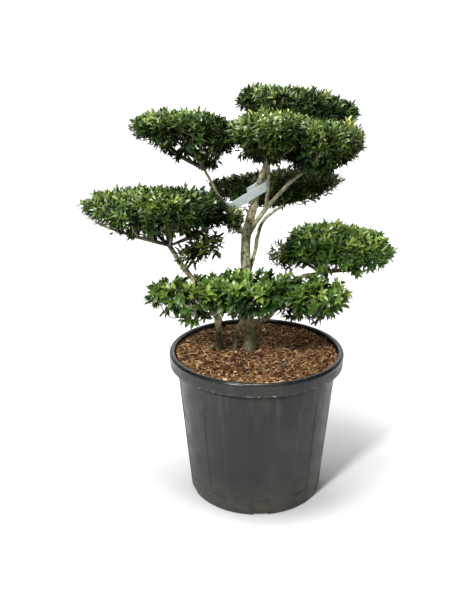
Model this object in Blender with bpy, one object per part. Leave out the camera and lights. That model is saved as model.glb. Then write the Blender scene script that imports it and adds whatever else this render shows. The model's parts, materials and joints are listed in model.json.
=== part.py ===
"""A cloud-pruned evergreen shrub in a black nursery pot.

A crooked trunk and two thin side stems rise out of the mulch in a round plastic container. Their boughs
carry flat clipped pads of small leaves, one above another, with open air between them. Every limb and
every pad is a solid of its own. A pad is a lumpy core with twigs and leaves standing out of it.

Metres, +Z up. The origin is the middle of the pot's underside, and the front of the plant faces -Y.
Azimuths are degrees from the front, growing towards +X.
"""

import math
import random
from typing import NamedTuple

import bmesh
import bpy
from mathutils import Matrix, Vector, noise

GAP = 0.0003  # between pieces that touch
HAIR = 0.0000001

# ---- pot ----
POT_HEIGHT = 0.431
RIM_RADIUS = 0.250
RIM_WIDTH = 0.0155  # of its rolled top, measured inwards
RIM_ROLL = 0.006  # height over which the top rounds off
RIM_DEPTH = 0.039  # height of the skirt under the rim
SKIRT_THICK = 0.0048
SKIRT_TAPER = 0.0016  # how much less the skirt stands out at its lower edge
SKIRT_TOP = 0.026  # from the rim down to the top of the groove behind the skirt
WALL_TOP_RADIUS = 0.2290  # just under the skirt
WALL_FOOT_RADIUS = 0.1960  # where the wall starts to round in
WALL_FOOT = 0.030
WALL = 0.0035
LIP_RADIUS = 0.2332  # inside the rim, down to LIP_FOOT, where the wall's inner face starts
LIP_FOOT = 0.4020
FOOT_RADIUS = 0.188
FOOT_ROUND = 0.006
FOOT_RING_WIDTH = 0.016
CENTRE_PAD_RADIUS = 0.050
DRAFT = 0.003  # slope of the sides of the ring and the pad that the pot stands on
FLOOR_UNDER = 0.010
FLOOR_TOP = 0.014
PANELS = 10
PANEL_SHARE = 0.44  # of its pitch that a panel takes
PANEL_RECESS = 0.0018
PANEL_SPAN = (0.046, 0.332)  # lowest and highest point of the panels
PANEL_EDGE = 0.004
FIRST_PANEL_AZIMUTH = 4.4
POT_SEGMENTS = 50
NOTCHES = 5
NOTCH_SIZE = (0.043, 0.050, 0.0092)  # width, radial length, height
DRAIN_HOLE_RADIUS = 0.008
DRAIN_HOLE_RING = 0.125
DRAIN_HOLE_SIDES = 10

# ---- mulch ----
SOIL_LEVEL = 0.4150
SOIL_EDGE = 0.4170  # where the mulch meets the pot's lip
SOIL_RINGS = (0.010, 0.036)  # of uneven mulch, measured in from the wall
SOIL_FLAT_RADIUS = 0.145  # the stems stand on this part
SOIL_LUMP = 0.004
SOIL_LUMPS_PER_METRE = 22

# ---- limbs ----
ROOT_FLARE = 0.24  # extra radius at the soil
FLARE_HEIGHT = 0.030
TAPER_POWER = 1.6
STEP_LENGTH = 0.032  # of a limb's course
FEWEST_STEPS = 5

# ---- pads: a core, and leaves that are larger than life because there are fewer of them ----
LUMPS_PER_UNIT = 2.6
LUMPS_APART = 9  # sets the lumps of one pad apart from the next's
CORE_INSET = (0.024, 0.015)  # how far leaves stand out of a core, sideways and upwards
CORE_TILTS = (-90, -58, -28, -4, 20, 50, 90)
CORE_SIDES = 12
CORE_TWIST = 0.3  # turns each ring of a core against the next, in degrees per degree of tilt
CROTCH = 0.35  # where the ribs part, from the bough's tip to the heart of the pad
STEM_END = 0.75  # how far the stem runs on from there
RIB_RADIUS = 0.0036
RIB_TILT = -12
RIB_END = 0.75  # how far a rib reaches from the heart of the pad to the surface of its core
RIB_WANDER = 15
RIB_STEPS = 5
TWIG_RADIUS = 0.0026
TWIG_TIP_RADIUS = 0.0021
LEAF_LENGTH = 0.058
LEAF_WIDTH = 0.46  # of its length
LEAF_THICKNESS = 0.075  # of its length
WIDEST = 0.56  # how far along a leaf its widest place is
LEAVES_PER_SHOOT = 3
SHOOT_SHARE = 3  # every third leaf of a dense pad grows on a shoot
SHOOT_FORK = 0.78  # of a leaf's length back from the tip of the shoot
SIDE_LEAF = 0.85  # of the length of the leaf on the end of a shoot
SIDE_SPREAD = (0.6, 0.8)  # a side leaf's direction, along the shoot and across it
SHOOT_LEAN = 0.3
SHOOT_ROOTED = 0.5  # of the way back from its fork to the heart of a dense pad
FAN_CENTRE = 0.3  # of the way from the heart to the bough's tip, where the leaves point away from
LENGTHS = (0.9, 1.1)  # shortest and longest leaf, as shares of the usual length
TESTED = (0.25, WIDEST, 0.8)  # places along the middle of a leaf that have to be clear
LEANS = (1.5, 1.1, 0.7, 0.3)  # how far a leaf may lie over, the most first
ROOTED = 0.93  # a leaf's root lies this deep in its core
REACHES = (1.0, 0.93, 0.86)  # a leaf whose place is taken draws back towards the heart of its pad
SPIRAL_END = 0.94  # keeps the spiral of leaves off the very top and bottom of a pad
LIMB_CLEARANCE = 0.0030
PAD_CLEARANCE = 0.05  # as a share of a pad's size
OVERSHOOT = 1.04  # of a pad's size that a leaf may reach

BARK = (0.30, 0.255, 0.19)
FOLIAGE = (0.075, 0.165, 0.045)
PLASTIC = (0.040, 0.043, 0.045)
MULCH = (0.20, 0.105, 0.050)
LABEL = (0.78, 0.88, 0.90)


class Limb(NamedTuple):
    """A tapering stem or bough. It starts on the soil, or on its parent where that reaches a height."""

    name: str
    parent: str
    start: tuple
    course: tuple
    thick: float
    thin: float
    sides: int = 7


LIMBS = (
    Limb(
        "trunk", "", (-0.017, 0.022),
        ((-0.027, 0.025, 0.566), (-0.032, 0.030, 0.735), (-0.010, 0.040, 0.837),
         (0.020, 0.060, 0.940), (0.058, 0.128, 1.026)),
        0.0168, 0.0044, 10,
    ),
    Limb(
        "stem_left", "", (-0.107, 0.020),
        ((-0.109, 0.015, 0.485), (-0.122, 0.006, 0.545),
         (-0.153, 0.000, 0.603), (-0.205, -0.009, 0.672), (-0.234, -0.024, 0.728)),
        0.0098, 0.0070, 8,
    ),
    Limb(
        "stem_middle", "", (-0.062, 0.018),
        ((-0.053, 0.008, 0.480), (-0.040, -0.018, 0.520), (-0.026, -0.060, 0.556)),
        0.0074, 0.0044,
    ),
    Limb(
        "bough_right_low", "trunk", (0.478,),
        ((0.033, 0.040, 0.510), (0.075, 0.050, 0.565),
         (0.118, 0.046, 0.625), (0.170, 0.030, 0.645)),
        0.0082, 0.0050,
    ),
    Limb(
        "bough_back", "trunk", (0.640,),
        ((-0.007, 0.042, 0.702), (0.000, 0.050, 0.745), (0.014, 0.067, 0.783),
         (0.046, 0.096, 0.808), (0.074, 0.122, 0.820)),
        0.0058, 0.0040,
    ),
    Limb(
        "bough_left_high", "trunk", (0.742,),
        ((-0.076, 0.035, 0.815), (-0.098, 0.040, 0.847), (-0.140, 0.052, 0.920)),
        0.0058, 0.0040,
    ),
    Limb(
        "bough_right_high", "trunk", (0.762,),
        ((0.007, 0.024, 0.809), (0.041, 0.010, 0.854),
         (0.093, -0.010, 0.914), (0.138, -0.034, 0.950)),
        0.0070, 0.0038,
    ),
    Limb(
        "bough_top_front", "bough_right_high", (0.832,),
        ((0.026, 0.006, 0.872), (0.029, -0.018, 0.925), (0.027, -0.042, 0.960)),
        0.0056, 0.0040,
    ),
    Limb(
        "bough_left_low", "stem_left", (0.500,),
        ((-0.102, -0.016, 0.525), (-0.122, -0.050, 0.550), (-0.155, -0.082, 0.566)),
        0.0052, 0.0038,
    ),
    Limb(
        "bough_front_right", "bough_right_low", (0.540,),
        ((0.090, 0.010, 0.552), (0.124, -0.040, 0.556)),
        0.0048, 0.0036,
    ),
    Limb(
        "twig_left", "stem_left", (0.664,),
        ((-0.185, -0.026, 0.682), (-0.166, -0.044, 0.712)),
        0.0038, 0.0028, 5,
    ),
    Limb(
        "twig_middle", "trunk", (0.812,),
        ((-0.032, 0.016, 0.830), (-0.047, -0.006, 0.824)),
        0.0034, 0.0026, 5,
    ),
    Limb(
        "twig_right", "bough_right_low", (0.618,),
        ((0.098, 0.036, 0.646), (0.086, 0.034, 0.680)),
        0.0034, 0.0026, 5,
    ),
)


class Pad(NamedTuple):
    """One mass of foliage: a low dome over a shallow inverted cone, down to the tip of its bough."""

    name: str
    bough: str
    centre: tuple  # of its widest level
    reach: tuple  # half its width and half its depth
    rise: float
    drop: float
    slope: float  # how much its level climbs with x
    leaves: int
    ribs: int
    dome: float = 2.4  # power of its upper outline; 2 is an ellipse, more is boxier
    under: float = 1.65  # power of its underside; 1 is a cone
    lean: float = 0.8  # how far the underside leans towards the tip of the bough
    dense: bool = True
    lump: float = 0.07


PADS = (
    Pad(
        "foliage_top_back", "trunk", (0.114, 0.172, 1.098), (0.185, 0.120), 0.050, 0.062,
        slope=-0.135, dome=2.05, leaves=50, ribs=4,
    ),
    Pad(
        "foliage_top_front", "bough_top_front", (0.018, -0.080, 1.042), (0.097, 0.120), 0.054, 0.092,
        slope=0.0, leaves=38, ribs=3,
    ),
    Pad(
        "foliage_top_right", "bough_right_high", (0.176, -0.072, 1.022), (0.099, 0.114), 0.054, 0.086,
        slope=-0.04, leaves=38, ribs=3,
    ),
    Pad(
        "foliage_top_left", "bough_left_high", (-0.206, 0.060, 1.042), (0.154, 0.124), 0.054, 0.116,
        slope=-0.03, under=1.25, lean=1.25, leaves=48, ribs=4,
    ),
    Pad(
        "foliage_middle_back", "bough_back", (0.049, 0.222, 0.866), (0.208, 0.112), 0.042, 0.052,
        slope=0.08, dome=2.8, under=1.5, leaves=40, ribs=4,
    ),
    Pad(
        "foliage_left", "stem_left", (-0.276, -0.050, 0.846), (0.204, 0.146), 0.055, 0.096,
        slope=0.0, under=1.75, leaves=60, ribs=5,
    ),
    Pad(
        "foliage_left_tuft", "twig_left", (-0.160, -0.058, 0.741), (0.070, 0.056), 0.027, 0.037,
        slope=0.5, leaves=14, ribs=3,
    ),
    Pad(
        "foliage_middle_tuft", "twig_middle", (-0.066, -0.030, 0.818), (0.036, 0.036), 0.036, 0.044,
        slope=0.0, leaves=9, ribs=3, dense=False,
    ),
    Pad(
        "foliage_right", "bough_right_low", (0.240, 0.030, 0.726), (0.148, 0.134), 0.064, 0.110,
        slope=-0.05, under=1.6, leaves=48, ribs=4,
    ),
    Pad(
        "foliage_right_tuft", "twig_right", (0.082, 0.030, 0.729), (0.047, 0.042), 0.040, 0.058,
        slope=0.1, leaves=9, ribs=3, dense=False,
    ),
    Pad(
        "foliage_low_left", "bough_left_low", (-0.186, -0.120, 0.634), (0.114, 0.102), 0.046, 0.104,
        slope=0.04, leaves=38, ribs=4,
    ),
    Pad(
        "foliage_low_middle", "stem_middle", (-0.014, -0.132, 0.644), (0.107, 0.110), 0.052, 0.106,
        slope=0.0, leaves=36, ribs=3,
    ),
    Pad(
        "foliage_low_right", "bough_front_right", (0.153, -0.120, 0.628), (0.102, 0.102), 0.054, 0.102,
        slope=-0.02, leaves=38, ribs=3,
    ),
)

# ---- label: a blank strip that hangs round the trunk above the fork ----
LABEL_HEIGHT = 0.888  # where the trunk passes through its loop
LABEL_FREE_END = (-0.090, -0.028, 0.838)
LABEL_WIDTH = 0.026
LABEL_THICKNESS = 0.0010
LABEL_BACK_LEG = 0.030
LABEL_BENDS = 6


# ---------------------------------------------------------------- shapes

def clear_scene():
    for obj in list(bpy.data.objects):
        bpy.data.objects.remove(obj, do_unlink=True)


def material(name, colour, roughness):
    made = bpy.data.materials.new(name)
    made.use_nodes = True
    shader = made.node_tree.nodes["Principled BSDF"]
    shader.inputs["Base Color"].default_value = (*colour, 1.0)
    shader.inputs["Roughness"].default_value = roughness
    shader.inputs["Metallic"].default_value = 0.0
    return made


def mesh_object(name, points, faces, finish=None):
    mesh = bpy.data.meshes.new(name)
    mesh.from_pydata([tuple(p) for p in points], [], faces)
    if finish:
        mesh.materials.append(finish)
    obj = bpy.data.objects.new(name, mesh)
    bpy.context.scene.collection.objects.link(obj)
    return obj


def bake(obj):
    """Give the object the mesh that its modifiers make of it."""
    graph = bpy.context.evaluated_depsgraph_get()
    made = bpy.data.meshes.new_from_object(obj.evaluated_get(graph))
    obj.modifiers.clear()
    old, obj.data = obj.data, made
    bpy.data.meshes.remove(old)


def combine(obj, others, operation, solver="EXACT"):
    """Apply one Boolean of a whole collection to the object, then remove the collection's objects."""
    group = bpy.data.collections.new("operands")
    bpy.context.scene.collection.children.link(group)
    for other in others:
        other.hide_render = True
        other.display_type = "WIRE"
        bpy.context.scene.collection.objects.unlink(other)
        group.objects.link(other)
    step = obj.modifiers.new(operation.title(), "BOOLEAN")
    step.operand_type = "COLLECTION"
    step.collection = group
    step.operation = operation
    step.solver = solver
    bake(obj)
    for other in others:
        bpy.data.meshes.remove(other.data)
    bpy.data.collections.remove(group)


def keep_main_body(obj):
    """Drop loose scraps and the walls of sealed hollows, so that one solid body is left."""
    shape = bmesh.new()
    shape.from_mesh(obj.data)
    bmesh.ops.triangulate(shape, faces=shape.faces)
    bodies = []
    seen = set()
    for seed in shape.faces:
        if seed in seen:
            continue
        seen.add(seed)
        body = [seed]
        for face in body:
            for other in (f for edge in face.edges for f in edge.link_faces):
                if other not in seen:
                    seen.add(other)
                    body.append(other)
        bodies.append(body)
    main = max(bodies, key=len)
    rest = [face for body in bodies if body is not main for face in body]
    bmesh.ops.delete(shape, geom=rest, context="FACES")
    shape.to_mesh(obj.data)
    shape.free()


def around(radius, azimuth, height):
    angle = math.radians(azimuth)
    return Vector((radius * math.sin(angle), -radius * math.cos(angle), height))


def lathe(name, rings, segments, first_azimuth, finish):
    """Close a stack of rings, each a function from azimuth to radius and height, with two caps."""
    points = []
    for ring in rings:
        for k in range(segments):
            azimuth = first_azimuth + 360 * k / segments
            radius, height = ring(azimuth)
            points.append(around(radius, azimuth, height))
    faces = []
    for r in range(len(rings) - 1):
        for k in range(segments):
            a, b = r * segments + k, r * segments + (k + 1) % segments
            faces.append((a, b, b + segments, a + segments))
    faces.append(tuple(reversed(range(segments))))
    faces.append(tuple(range((len(rings) - 1) * segments, len(rings) * segments)))
    obj = mesh_object(name, points, faces, finish)
    obj.data.shade_smooth()
    return obj


# ---------------------------------------------------------------- pot and mulch

def wall_radius(height):
    """Radius of the outside of the tapering wall."""
    skirt_foot = POT_HEIGHT - RIM_DEPTH
    along = (height - WALL_FOOT) / (skirt_foot - WALL_FOOT)
    return WALL_FOOT_RADIUS + (WALL_TOP_RADIUS - WALL_FOOT_RADIUS) * along


def in_panel(azimuth):
    pitch = 360 / PANELS
    offset = (azimuth - FIRST_PANEL_AZIMUTH + pitch / 2) % pitch - pitch / 2
    return abs(offset) < PANEL_SHARE * pitch / 2


def plain(radius, height):
    return lambda azimuth: (radius, height)


def panelled(height):
    return lambda azimuth: (wall_radius(height) - PANEL_RECESS * in_panel(azimuth), height)


def pot():
    skirt_foot = POT_HEIGHT - RIM_DEPTH
    low, high = PANEL_SPAN
    rings = [
        plain(CENTRE_PAD_RADIUS, 0),
        plain(CENTRE_PAD_RADIUS + DRAFT, FLOOR_UNDER),
        plain(FOOT_RADIUS - FOOT_RING_WIDTH - DRAFT, FLOOR_UNDER),
        plain(FOOT_RADIUS - FOOT_RING_WIDTH, 0),
        plain(FOOT_RADIUS, 0),
        plain(FOOT_RADIUS + FOOT_ROUND, FOOT_ROUND),
        plain(WALL_FOOT_RADIUS, WALL_FOOT),
        plain(wall_radius(low - PANEL_EDGE), low - PANEL_EDGE),
        panelled(low),
        panelled(high),
        plain(wall_radius(high + PANEL_EDGE), high + PANEL_EDGE),
        plain(WALL_TOP_RADIUS, skirt_foot),
        plain(wall_radius(POT_HEIGHT - SKIRT_TOP), POT_HEIGHT - SKIRT_TOP),
        plain(RIM_RADIUS - SKIRT_THICK, POT_HEIGHT - SKIRT_TOP),
        plain(RIM_RADIUS - SKIRT_THICK, skirt_foot),
        plain(RIM_RADIUS - SKIRT_TAPER, skirt_foot),
        plain(RIM_RADIUS, POT_HEIGHT - RIM_ROLL),
        plain(RIM_RADIUS - RIM_ROLL / 3, POT_HEIGHT - RIM_ROLL / 6),
        plain(RIM_RADIUS - RIM_WIDTH / 2, POT_HEIGHT),
        plain(RIM_RADIUS - RIM_WIDTH, POT_HEIGHT - RIM_ROLL),
        plain(LIP_RADIUS, SOIL_EDGE),
        plain(wall_radius(LIP_FOOT) - WALL, LIP_FOOT),
        plain(WALL_FOOT_RADIUS - WALL, WALL_FOOT),
        plain(FOOT_RADIUS - WALL, FLOOR_TOP),
    ]
    finish = material("black_plastic", PLASTIC, 0.45)
    made = lathe("pot", rings, POT_SEGMENTS, FIRST_PANEL_AZIMUTH, finish)
    width, length, height = NOTCH_SIZE
    cutters = []
    for k in range(NOTCHES):
        azimuth = FIRST_PANEL_AZIMUTH + 360 * k / NOTCHES
        turn = Matrix.Rotation(math.radians(azimuth), 4, "Z")
        notch = bmesh.new()
        bmesh.ops.create_cube(notch, size=1, matrix=Matrix.Diagonal((width, length, 2 * height, 1)))
        place = turn @ Matrix.Translation((0, -FOOT_RADIUS, 0))
        bmesh.ops.transform(notch, verts=notch.verts, matrix=place)
        cutters.append(from_bmesh("notch", notch))
        hole = bmesh.new()
        bmesh.ops.create_cone(
            hole, cap_ends=True, segments=DRAIN_HOLE_SIDES, radius1=DRAIN_HOLE_RADIUS,
            radius2=DRAIN_HOLE_RADIUS, depth=4 * (FLOOR_TOP - FLOOR_UNDER),
        )
        middle = around(DRAIN_HOLE_RING, azimuth + 180 / NOTCHES, (FLOOR_TOP + FLOOR_UNDER) / 2)
        bmesh.ops.translate(hole, verts=hole.verts, vec=middle)
        cutters.append(from_bmesh("drain_hole", hole))
    combine(made, cutters, "DIFFERENCE", "MANIFOLD")
    keep_main_body(made)
    made.data.shade_smooth()
    return made


def from_bmesh(name, shape):
    mesh = bpy.data.meshes.new(name)
    shape.to_mesh(mesh)
    shape.free()
    obj = bpy.data.objects.new(name, mesh)
    bpy.context.scene.collection.objects.link(obj)
    return obj


def soil():
    """The mulch fills the pot, flat where the stems stand and a little uneven round them."""

    def uneven(radius):
        def ring(azimuth):
            lump = noise.noise(around(radius, azimuth, 0) * SOIL_LUMPS_PER_METRE)
            return radius, SOIL_LEVEL + SOIL_LUMP * lump

        return ring

    edge = LIP_RADIUS - 2 * GAP
    rings = [
        plain(FOOT_RADIUS - WALL - 2 * GAP, FLOOR_TOP + GAP),
        plain(WALL_FOOT_RADIUS - WALL - 2 * GAP, WALL_FOOT + GAP),
        plain(wall_radius(LIP_FOOT) - WALL - 2 * GAP, LIP_FOOT + GAP),
        plain(edge, SOIL_EDGE),
        *[uneven(edge - inwards) for inwards in SOIL_RINGS],
        plain(SOIL_FLAT_RADIUS, SOIL_LEVEL),
    ]
    return lathe("soil", rings, POT_SEGMENTS, FIRST_PANEL_AZIMUTH, material("bark_mulch", MULCH, 0.95))


# ---------------------------------------------------------------- limbs

def smooth_course(points, count):
    """Points at even steps along a Catmull-Rom curve through the given places."""
    places = [Vector(p) for p in points]
    places = [2 * places[0] - places[1], *places, 2 * places[-1] - places[-2]]
    spans = len(places) - 3
    course = []
    for step in range(count):
        at = spans * step / (count - 1)
        span = min(int(at), spans - 1)
        t = at - span
        a, b, c, d = places[span:span + 4]
        course.append(
            0.5 * (2 * b + (c - a) * t + (2 * a - 5 * b + 4 * c - d) * t ** 2
                   + (3 * b - a - 3 * c + d) * t ** 3)
        )
    return course


def directions(course, first=None):
    """The way the course runs at each of its points."""
    ways = []
    for k in range(len(course)):
        ahead = course[min(k + 1, len(course) - 1)]
        behind = course[max(k - 1, 0)]
        ways.append((ahead - behind).normalized())
    if first:
        ways[0] = first
    return ways


def tube_shape(course, radii, sides, first=None):
    """Points and faces of a closed tube along the course."""
    ways = directions(course, first)
    side = ways[0].orthogonal().normalized()
    points = []
    for place, way, radius in zip(course, ways, radii):
        side = (side - way * side.dot(way)).normalized()
        across = way.cross(side)
        for k in range(sides):
            angle = math.tau * k / sides
            points.append(place + radius * (math.cos(angle) * side + math.sin(angle) * across))
    faces = []
    for r in range(len(course) - 1):
        for k in range(sides):
            a, b = r * sides + k, r * sides + (k + 1) % sides
            faces.append((a, b, b + sides, a + sides))
    faces.append(tuple(reversed(range(sides))))
    faces.append(tuple(range((len(course) - 1) * sides, len(course) * sides)))
    return points, faces


def limb_course(limb, limbs):
    """Places along the limb's middle, from the soil or its parent to its tip."""
    if limb.parent:
        parent = limb_course(limbs[limb.parent], limbs)
        fork = min(parent, key=lambda p: abs(p.z - limb.start[0]))
    else:
        fork = Vector((*limb.start, SOIL_LEVEL + GAP))
    points = [fork, *map(Vector, limb.course)]
    length = sum((b - a).length for a, b in zip(points, points[1:]))
    return smooth_course(points, max(FEWEST_STEPS, round(length / STEP_LENGTH)))


def limb_radii(limb, course):
    last = len(course) - 1
    radii = []
    for k, place in enumerate(course):
        radius = limb.thick + (limb.thin - limb.thick) * (k / last) ** TAPER_POWER
        if not limb.parent:
            height = place.z - SOIL_LEVEL
            radius *= 1 + ROOT_FLARE * math.exp(-((height / FLARE_HEIGHT) ** 2))
        radii.append(radius)
    return radii


def limb_solid(limb, limbs, finish):
    """A bough is cut where it leaves its parent, which keeps the two a hair apart."""
    course = limb_course(limb, limbs)
    upright = None if limb.parent else Vector((0, 0, 1))
    points, faces = tube_shape(course, limb_radii(limb, course), limb.sides, upright)
    made = mesh_object(limb.name, points, faces, finish)
    if limb.parent:
        parent = limbs[limb.parent]
        course = limb_course(parent, limbs)
        wide = [radius + 2 * GAP for radius in limb_radii(parent, course)]
        upright = None if parent.parent else Vector((0, 0, 1))
        cutter = mesh_object("cutter", *tube_shape(course, wide, parent.sides, upright))
        combine(made, [cutter], "DIFFERENCE")
        keep_main_body(made)
    made.data.shade_smooth()
    return made


# ---------------------------------------------------------------- foliage

def lumpy(pad, direction):
    """How far the pad swells in a direction."""
    return 1 + pad.lump * noise.noise(direction.normalized() * LUMPS_PER_UNIT + Vector(pad.centre) * LUMPS_APART)


def level_offset(pad, apex, v):
    """The underside leans towards the tip of the bough: the sideways shift at a share v of its drop."""
    return (apex - Vector(pad.centre)).to_2d() * v * pad.lean


def envelope(pad, apex, azimuth, tilt):
    """Point on the pad's outer surface. Tilt is -90 at the bottom, 0 at its widest level, 90 on top."""
    up = math.sin(math.radians(tilt))
    out = math.cos(math.radians(tilt))
    power = pad.dome if up > 0 else pad.under
    flat = out ** (2 / power)
    v = abs(up) ** (2 / power)
    angle = math.radians(azimuth)
    direction = Vector((out * math.cos(angle), out * math.sin(angle), up))
    swell = lumpy(pad, direction)
    x = pad.reach[0] * flat * math.cos(angle) * swell
    y = pad.reach[1] * flat * math.sin(angle) * swell
    z = (pad.rise if up > 0 else -pad.drop) * v * swell
    if up < 0:
        shift = level_offset(pad, apex, v)
        x += shift.x
        y += shift.y
    return Vector(pad.centre) + Vector((x, y, z + pad.slope * x))


def share_out(pad, apex, point):
    """0 in the middle of the pad's space, 1 on its outer surface, more outside."""
    x, y, z = point - Vector(pad.centre)
    z -= pad.slope * x
    if z < 0:
        v = -z / pad.drop
        shift = level_offset(pad, apex, min(v, 1))
        x -= shift.x
        y -= shift.y
        power = pad.under
    else:
        v = z / pad.rise
        power = pad.dome
    flat = math.hypot(x / pad.reach[0], y / pad.reach[1])
    out = (flat ** power + v ** power) ** (1 / power)
    if out == 0:
        return 0
    cos_tilt = (flat / out) ** (power / 2)
    sin_tilt = math.copysign((v / out) ** (power / 2), z)
    angle = math.atan2(y / pad.reach[1], x / pad.reach[0])
    direction = Vector((cos_tilt * math.cos(angle), cos_tilt * math.sin(angle), sin_tilt))
    return out / lumpy(pad, direction)


def core_of(pad):
    """The same pad, smaller by the length that leaves stand out of it."""
    sideways, upwards = CORE_INSET
    return pad._replace(
        reach=(pad.reach[0] - sideways, pad.reach[1] - sideways),
        rise=pad.rise - upwards,
        drop=pad.drop - upwards,
    )


def core_shape(pad, apex):
    points = []
    for tilt in CORE_TILTS:
        sides = 1 if abs(tilt) == 90 else CORE_SIDES
        for k in range(sides):
            points.append(envelope(pad, apex, 360 * k / sides + CORE_TWIST * tilt, tilt))
    last = len(points) - 1
    faces = []
    for k in range(CORE_SIDES):
        after = (k + 1) % CORE_SIDES
        faces.append((0, 1 + after, 1 + k))
        faces.append((last, last - CORE_SIDES + k, last - CORE_SIDES + after))
        for row in range(len(CORE_TILTS) - 3):
            a = 1 + row * CORE_SIDES
            faces.append((a + k, a + after, a + after + CORE_SIDES, a + k + CORE_SIDES))
    return points, faces


def leaf_shape(root, tip, flat_way):
    """A pointed leaf of eight faces, widest just past the middle of its length."""
    along = tip - root
    length = along.length
    across = along.cross(flat_way).normalized() * length * LEAF_WIDTH / 2
    thick = across.cross(along).normalized() * length * LEAF_THICKNESS / 2
    middle = root + WIDEST * along
    points = [root, middle + across, middle + thick, middle - across, middle - thick, tip]
    faces = []
    for k in range(4):
        a, b = 1 + k, 1 + (k + 1) % 4
        faces += [(0, a, b), (5, b, a)]
    return points, faces


class Clearances:
    """Tells whether a twig or a leaf stays in its pad's space and off every limb and the label."""

    def __init__(self, limbs):
        self.apexes = {}
        self.spans = []
        for limb in limbs.values():
            course = limb_course(limb, limbs)
            radii = limb_radii(limb, course)
            self.spans += list(zip(course, course[1:], radii))
        trunk = limb_course(limbs["trunk"], limbs)
        loop = min(trunk, key=lambda place: abs(place.z - LABEL_HEIGHT))
        self.spans.append((Vector(LABEL_FREE_END), loop, LABEL_WIDTH / 2))
        for pad in PADS:
            self.apexes[pad.name] = limb_course(limbs[pad.bough], limbs)[-1]

    def to_limbs(self, point):
        """How far the point is from the nearest limb's bark, or from the label."""
        nearest = math.inf
        for a, b, radius in self.spans:
            span = b - a
            t = max(0, min(1, (point - a).dot(span) / span.length_squared))
            nearest = min(nearest, (point - a - t * span).length - radius)
        return nearest

    def allows(self, pad, points, radius=0.0):
        """Whether something of that radius, with its middle at each of the points, suits the pad."""
        for point in points:
            own = share_out(pad, self.apexes[pad.name], point)
            if own > OVERSHOOT or self.to_limbs(point) < radius + LIMB_CLEARANCE:
                return False
            for other in PADS:
                share = share_out(other, self.apexes[other.name], point)
                if other is not pad and share < own + PAD_CLEARANCE:
                    return False
        return True


def measure(mesh):
    """The mesh's volume, and whether every edge joins two faces once points a hair apart are merged."""
    shape = bmesh.new()
    shape.from_mesh(mesh)
    volume = shape.calc_volume()
    bmesh.ops.remove_doubles(shape, verts=shape.verts, dist=HAIR)
    closed = all(edge.is_manifold for edge in shape.edges)
    shape.free()
    return volume, closed


def fuse(obj, pieces):
    """Union the pieces onto the object, by MANIFOLD where EXACT loses the object or pinches an edge."""
    bare = obj.data
    least = measure(bare)[0]
    for solver in ("EXACT", "MANIFOLD"):
        obj.data = bare.copy()
        combine(obj, [mesh_object("piece", *piece) for piece in pieces], "UNION", solver)
        keep_main_body(obj)
        volume, closed = measure(obj.data)
        if closed and volume > least:
            break
    bpy.data.meshes.remove(bare)


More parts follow.
